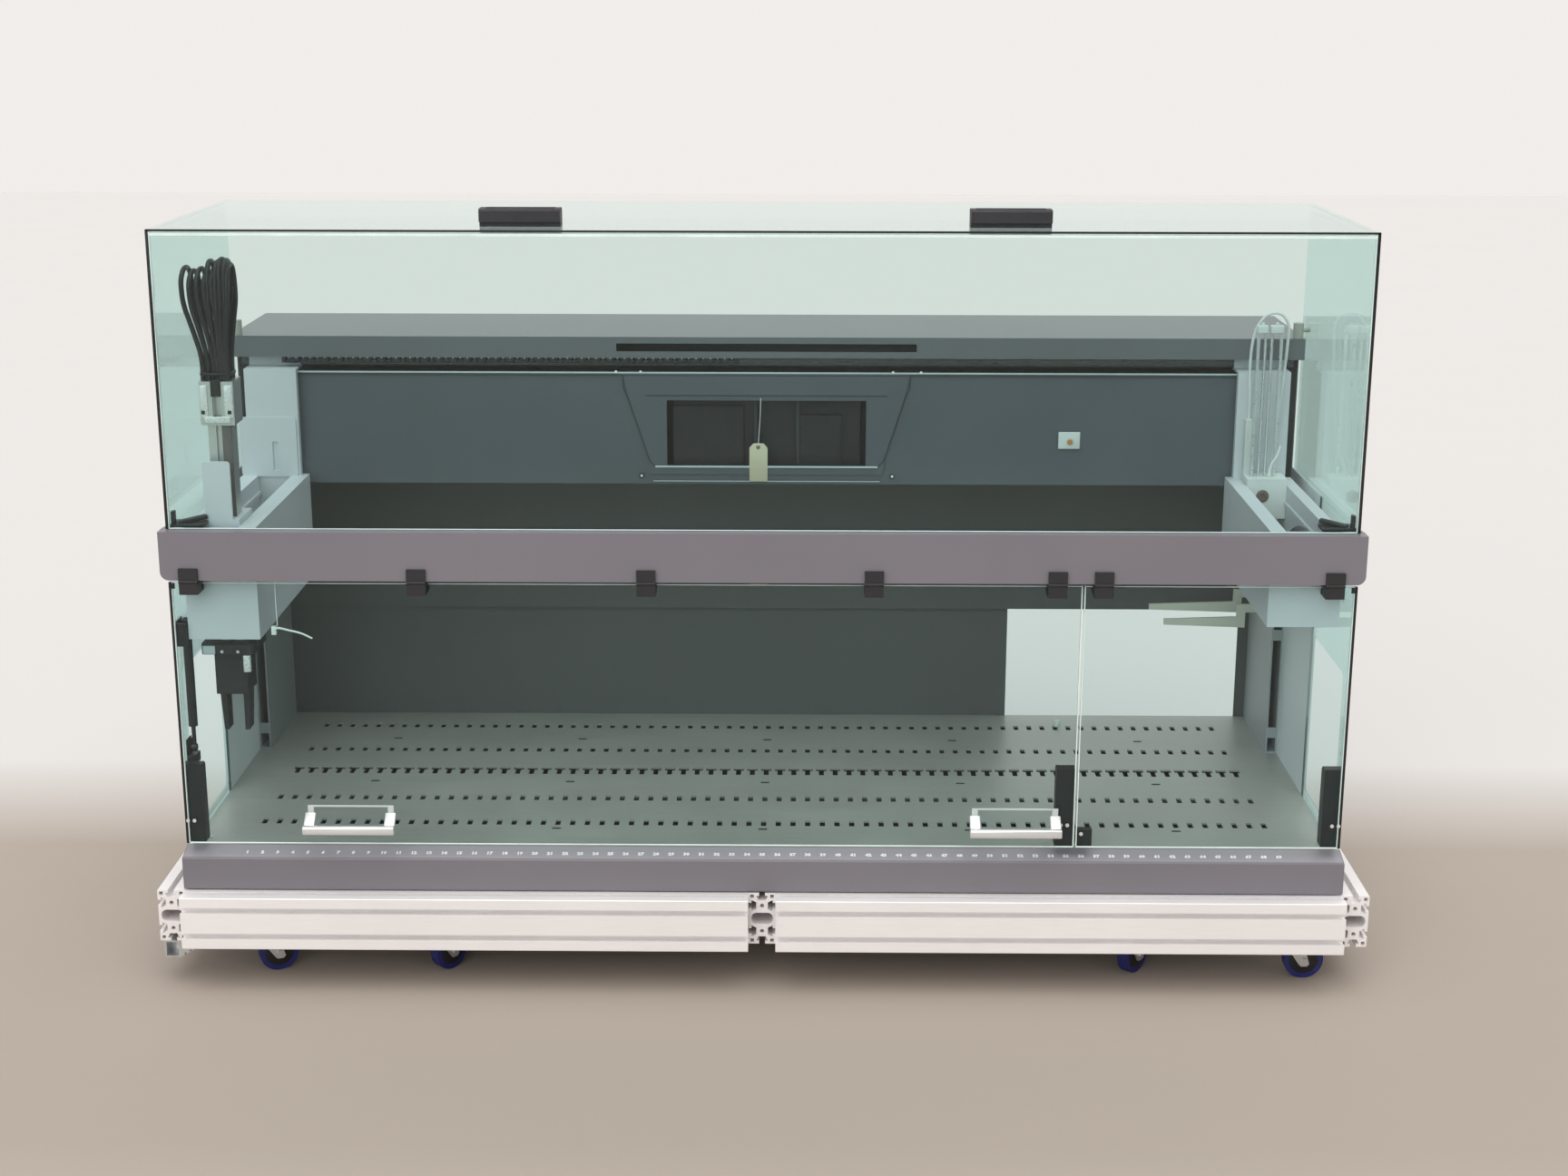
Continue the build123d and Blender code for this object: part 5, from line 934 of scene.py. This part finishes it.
def pale_world():
    """Pale room behind, mirrored by what faces back, a dimmer one in front, and a neutral even light."""
    world = bpy.data.worlds.new("studio")
    world.use_nodes = True
    nodes, links = world.node_tree.nodes, world.node_tree.links
    room = nodes["Background"]
    room.inputs["Color"].default_value = (0.98, 0.99, 1.0, 1)
    room.inputs["Strength"].default_value = 0.75
    wall = nodes.new("ShaderNodeBackground")
    wall.inputs["Color"].default_value = (0.885, 0.850, 0.830, 1)
    dim = nodes.new("ShaderNodeBackground")
    dim.inputs["Color"].default_value = (0.21, 0.225, 0.235, 1)
    toward = nodes.new("ShaderNodeTexCoord")
    parts = nodes.new("ShaderNodeSeparateXYZ")
    front = nodes.new("ShaderNodeMapRange")
    front.inputs["From Min"].default_value = -0.25
    front.inputs["From Max"].default_value = 0.25
    links.new(toward.outputs["Generated"], parts.inputs[0])
    links.new(parts.outputs["Y"], front.inputs["Value"])
    mirrored = nodes.new("ShaderNodeMixShader")
    links.new(front.outputs[0], mirrored.inputs["Fac"])
    links.new(dim.outputs[0], mirrored.inputs[1])
    links.new(wall.outputs[0], mirrored.inputs[2])
    rays = nodes.new("ShaderNodeLightPath")
    glossy = nodes.new("ShaderNodeMixShader")
    links.new(rays.outputs["Is Glossy Ray"], glossy.inputs["Fac"])
    links.new(room.outputs[0], glossy.inputs[1])
    links.new(mirrored.outputs[0], glossy.inputs[2])
    seen = nodes.new("ShaderNodeMixShader")
    links.new(rays.outputs["Is Camera Ray"], seen.inputs["Fac"])
    links.new(glossy.outputs[0], seen.inputs[1])
    links.new(wall.outputs[0], seen.inputs[2])
    links.new(seen.outputs[0], nodes["World Output"].inputs["Surface"])
    bpy.context.scene.world = world


def sun(name, rotation, strength, angle, colour=(1, 1, 1)):
    light = bpy.data.lights.new(name, "SUN")
    light.energy = strength
    light.angle = math.radians(angle)
    light.color = colour
    lamp = bpy.data.objects.new(name, light)
    lamp.rotation_euler = [math.radians(v) for v in rotation]
    bpy.context.scene.collection.objects.link(lamp)


def studio_light():
    """Even pale surround with a broad overhead light and a softer one from the front left."""
    pale_world()
    sun("overhead_light", (18, 4, 0), 1.5, 60, (1.0, 0.985, 0.96))
    sun("front_light", (64, 0, -22), 0.9, 45)


def viewing_camera():
    """Camera in front of the doors, a little above the hood, looking slightly down."""
    yaw, pitch, roll = CAMERA_TURN
    level_share = math.cos(pitch)
    look = Vector((math.sin(yaw) * level_share, math.cos(yaw) * level_share, -math.sin(pitch)))
    right = Vector((math.cos(yaw), -math.sin(yaw), 0))
    down = look.cross(right)
    across = right * math.cos(roll) + down * math.sin(roll)
    drop = down * math.cos(roll) - right * math.sin(roll)
    data = bpy.data.cameras.new("camera")
    data.sensor_width = 36.0
    data.lens = CAMERA_LENS
    camera = bpy.data.objects.new("camera", data)
    turn = Matrix((across, -drop, -look)).transposed().to_4x4()
    camera.matrix_world = Matrix.Translation(CAMERA_PLACE) @ turn
    bpy.context.scene.collection.objects.link(camera)
    bpy.context.scene.camera = camera


plain_floor()
studio_light()
viewing_camera()
bpy.context.scene.view_settings.view_transform = "Standard"
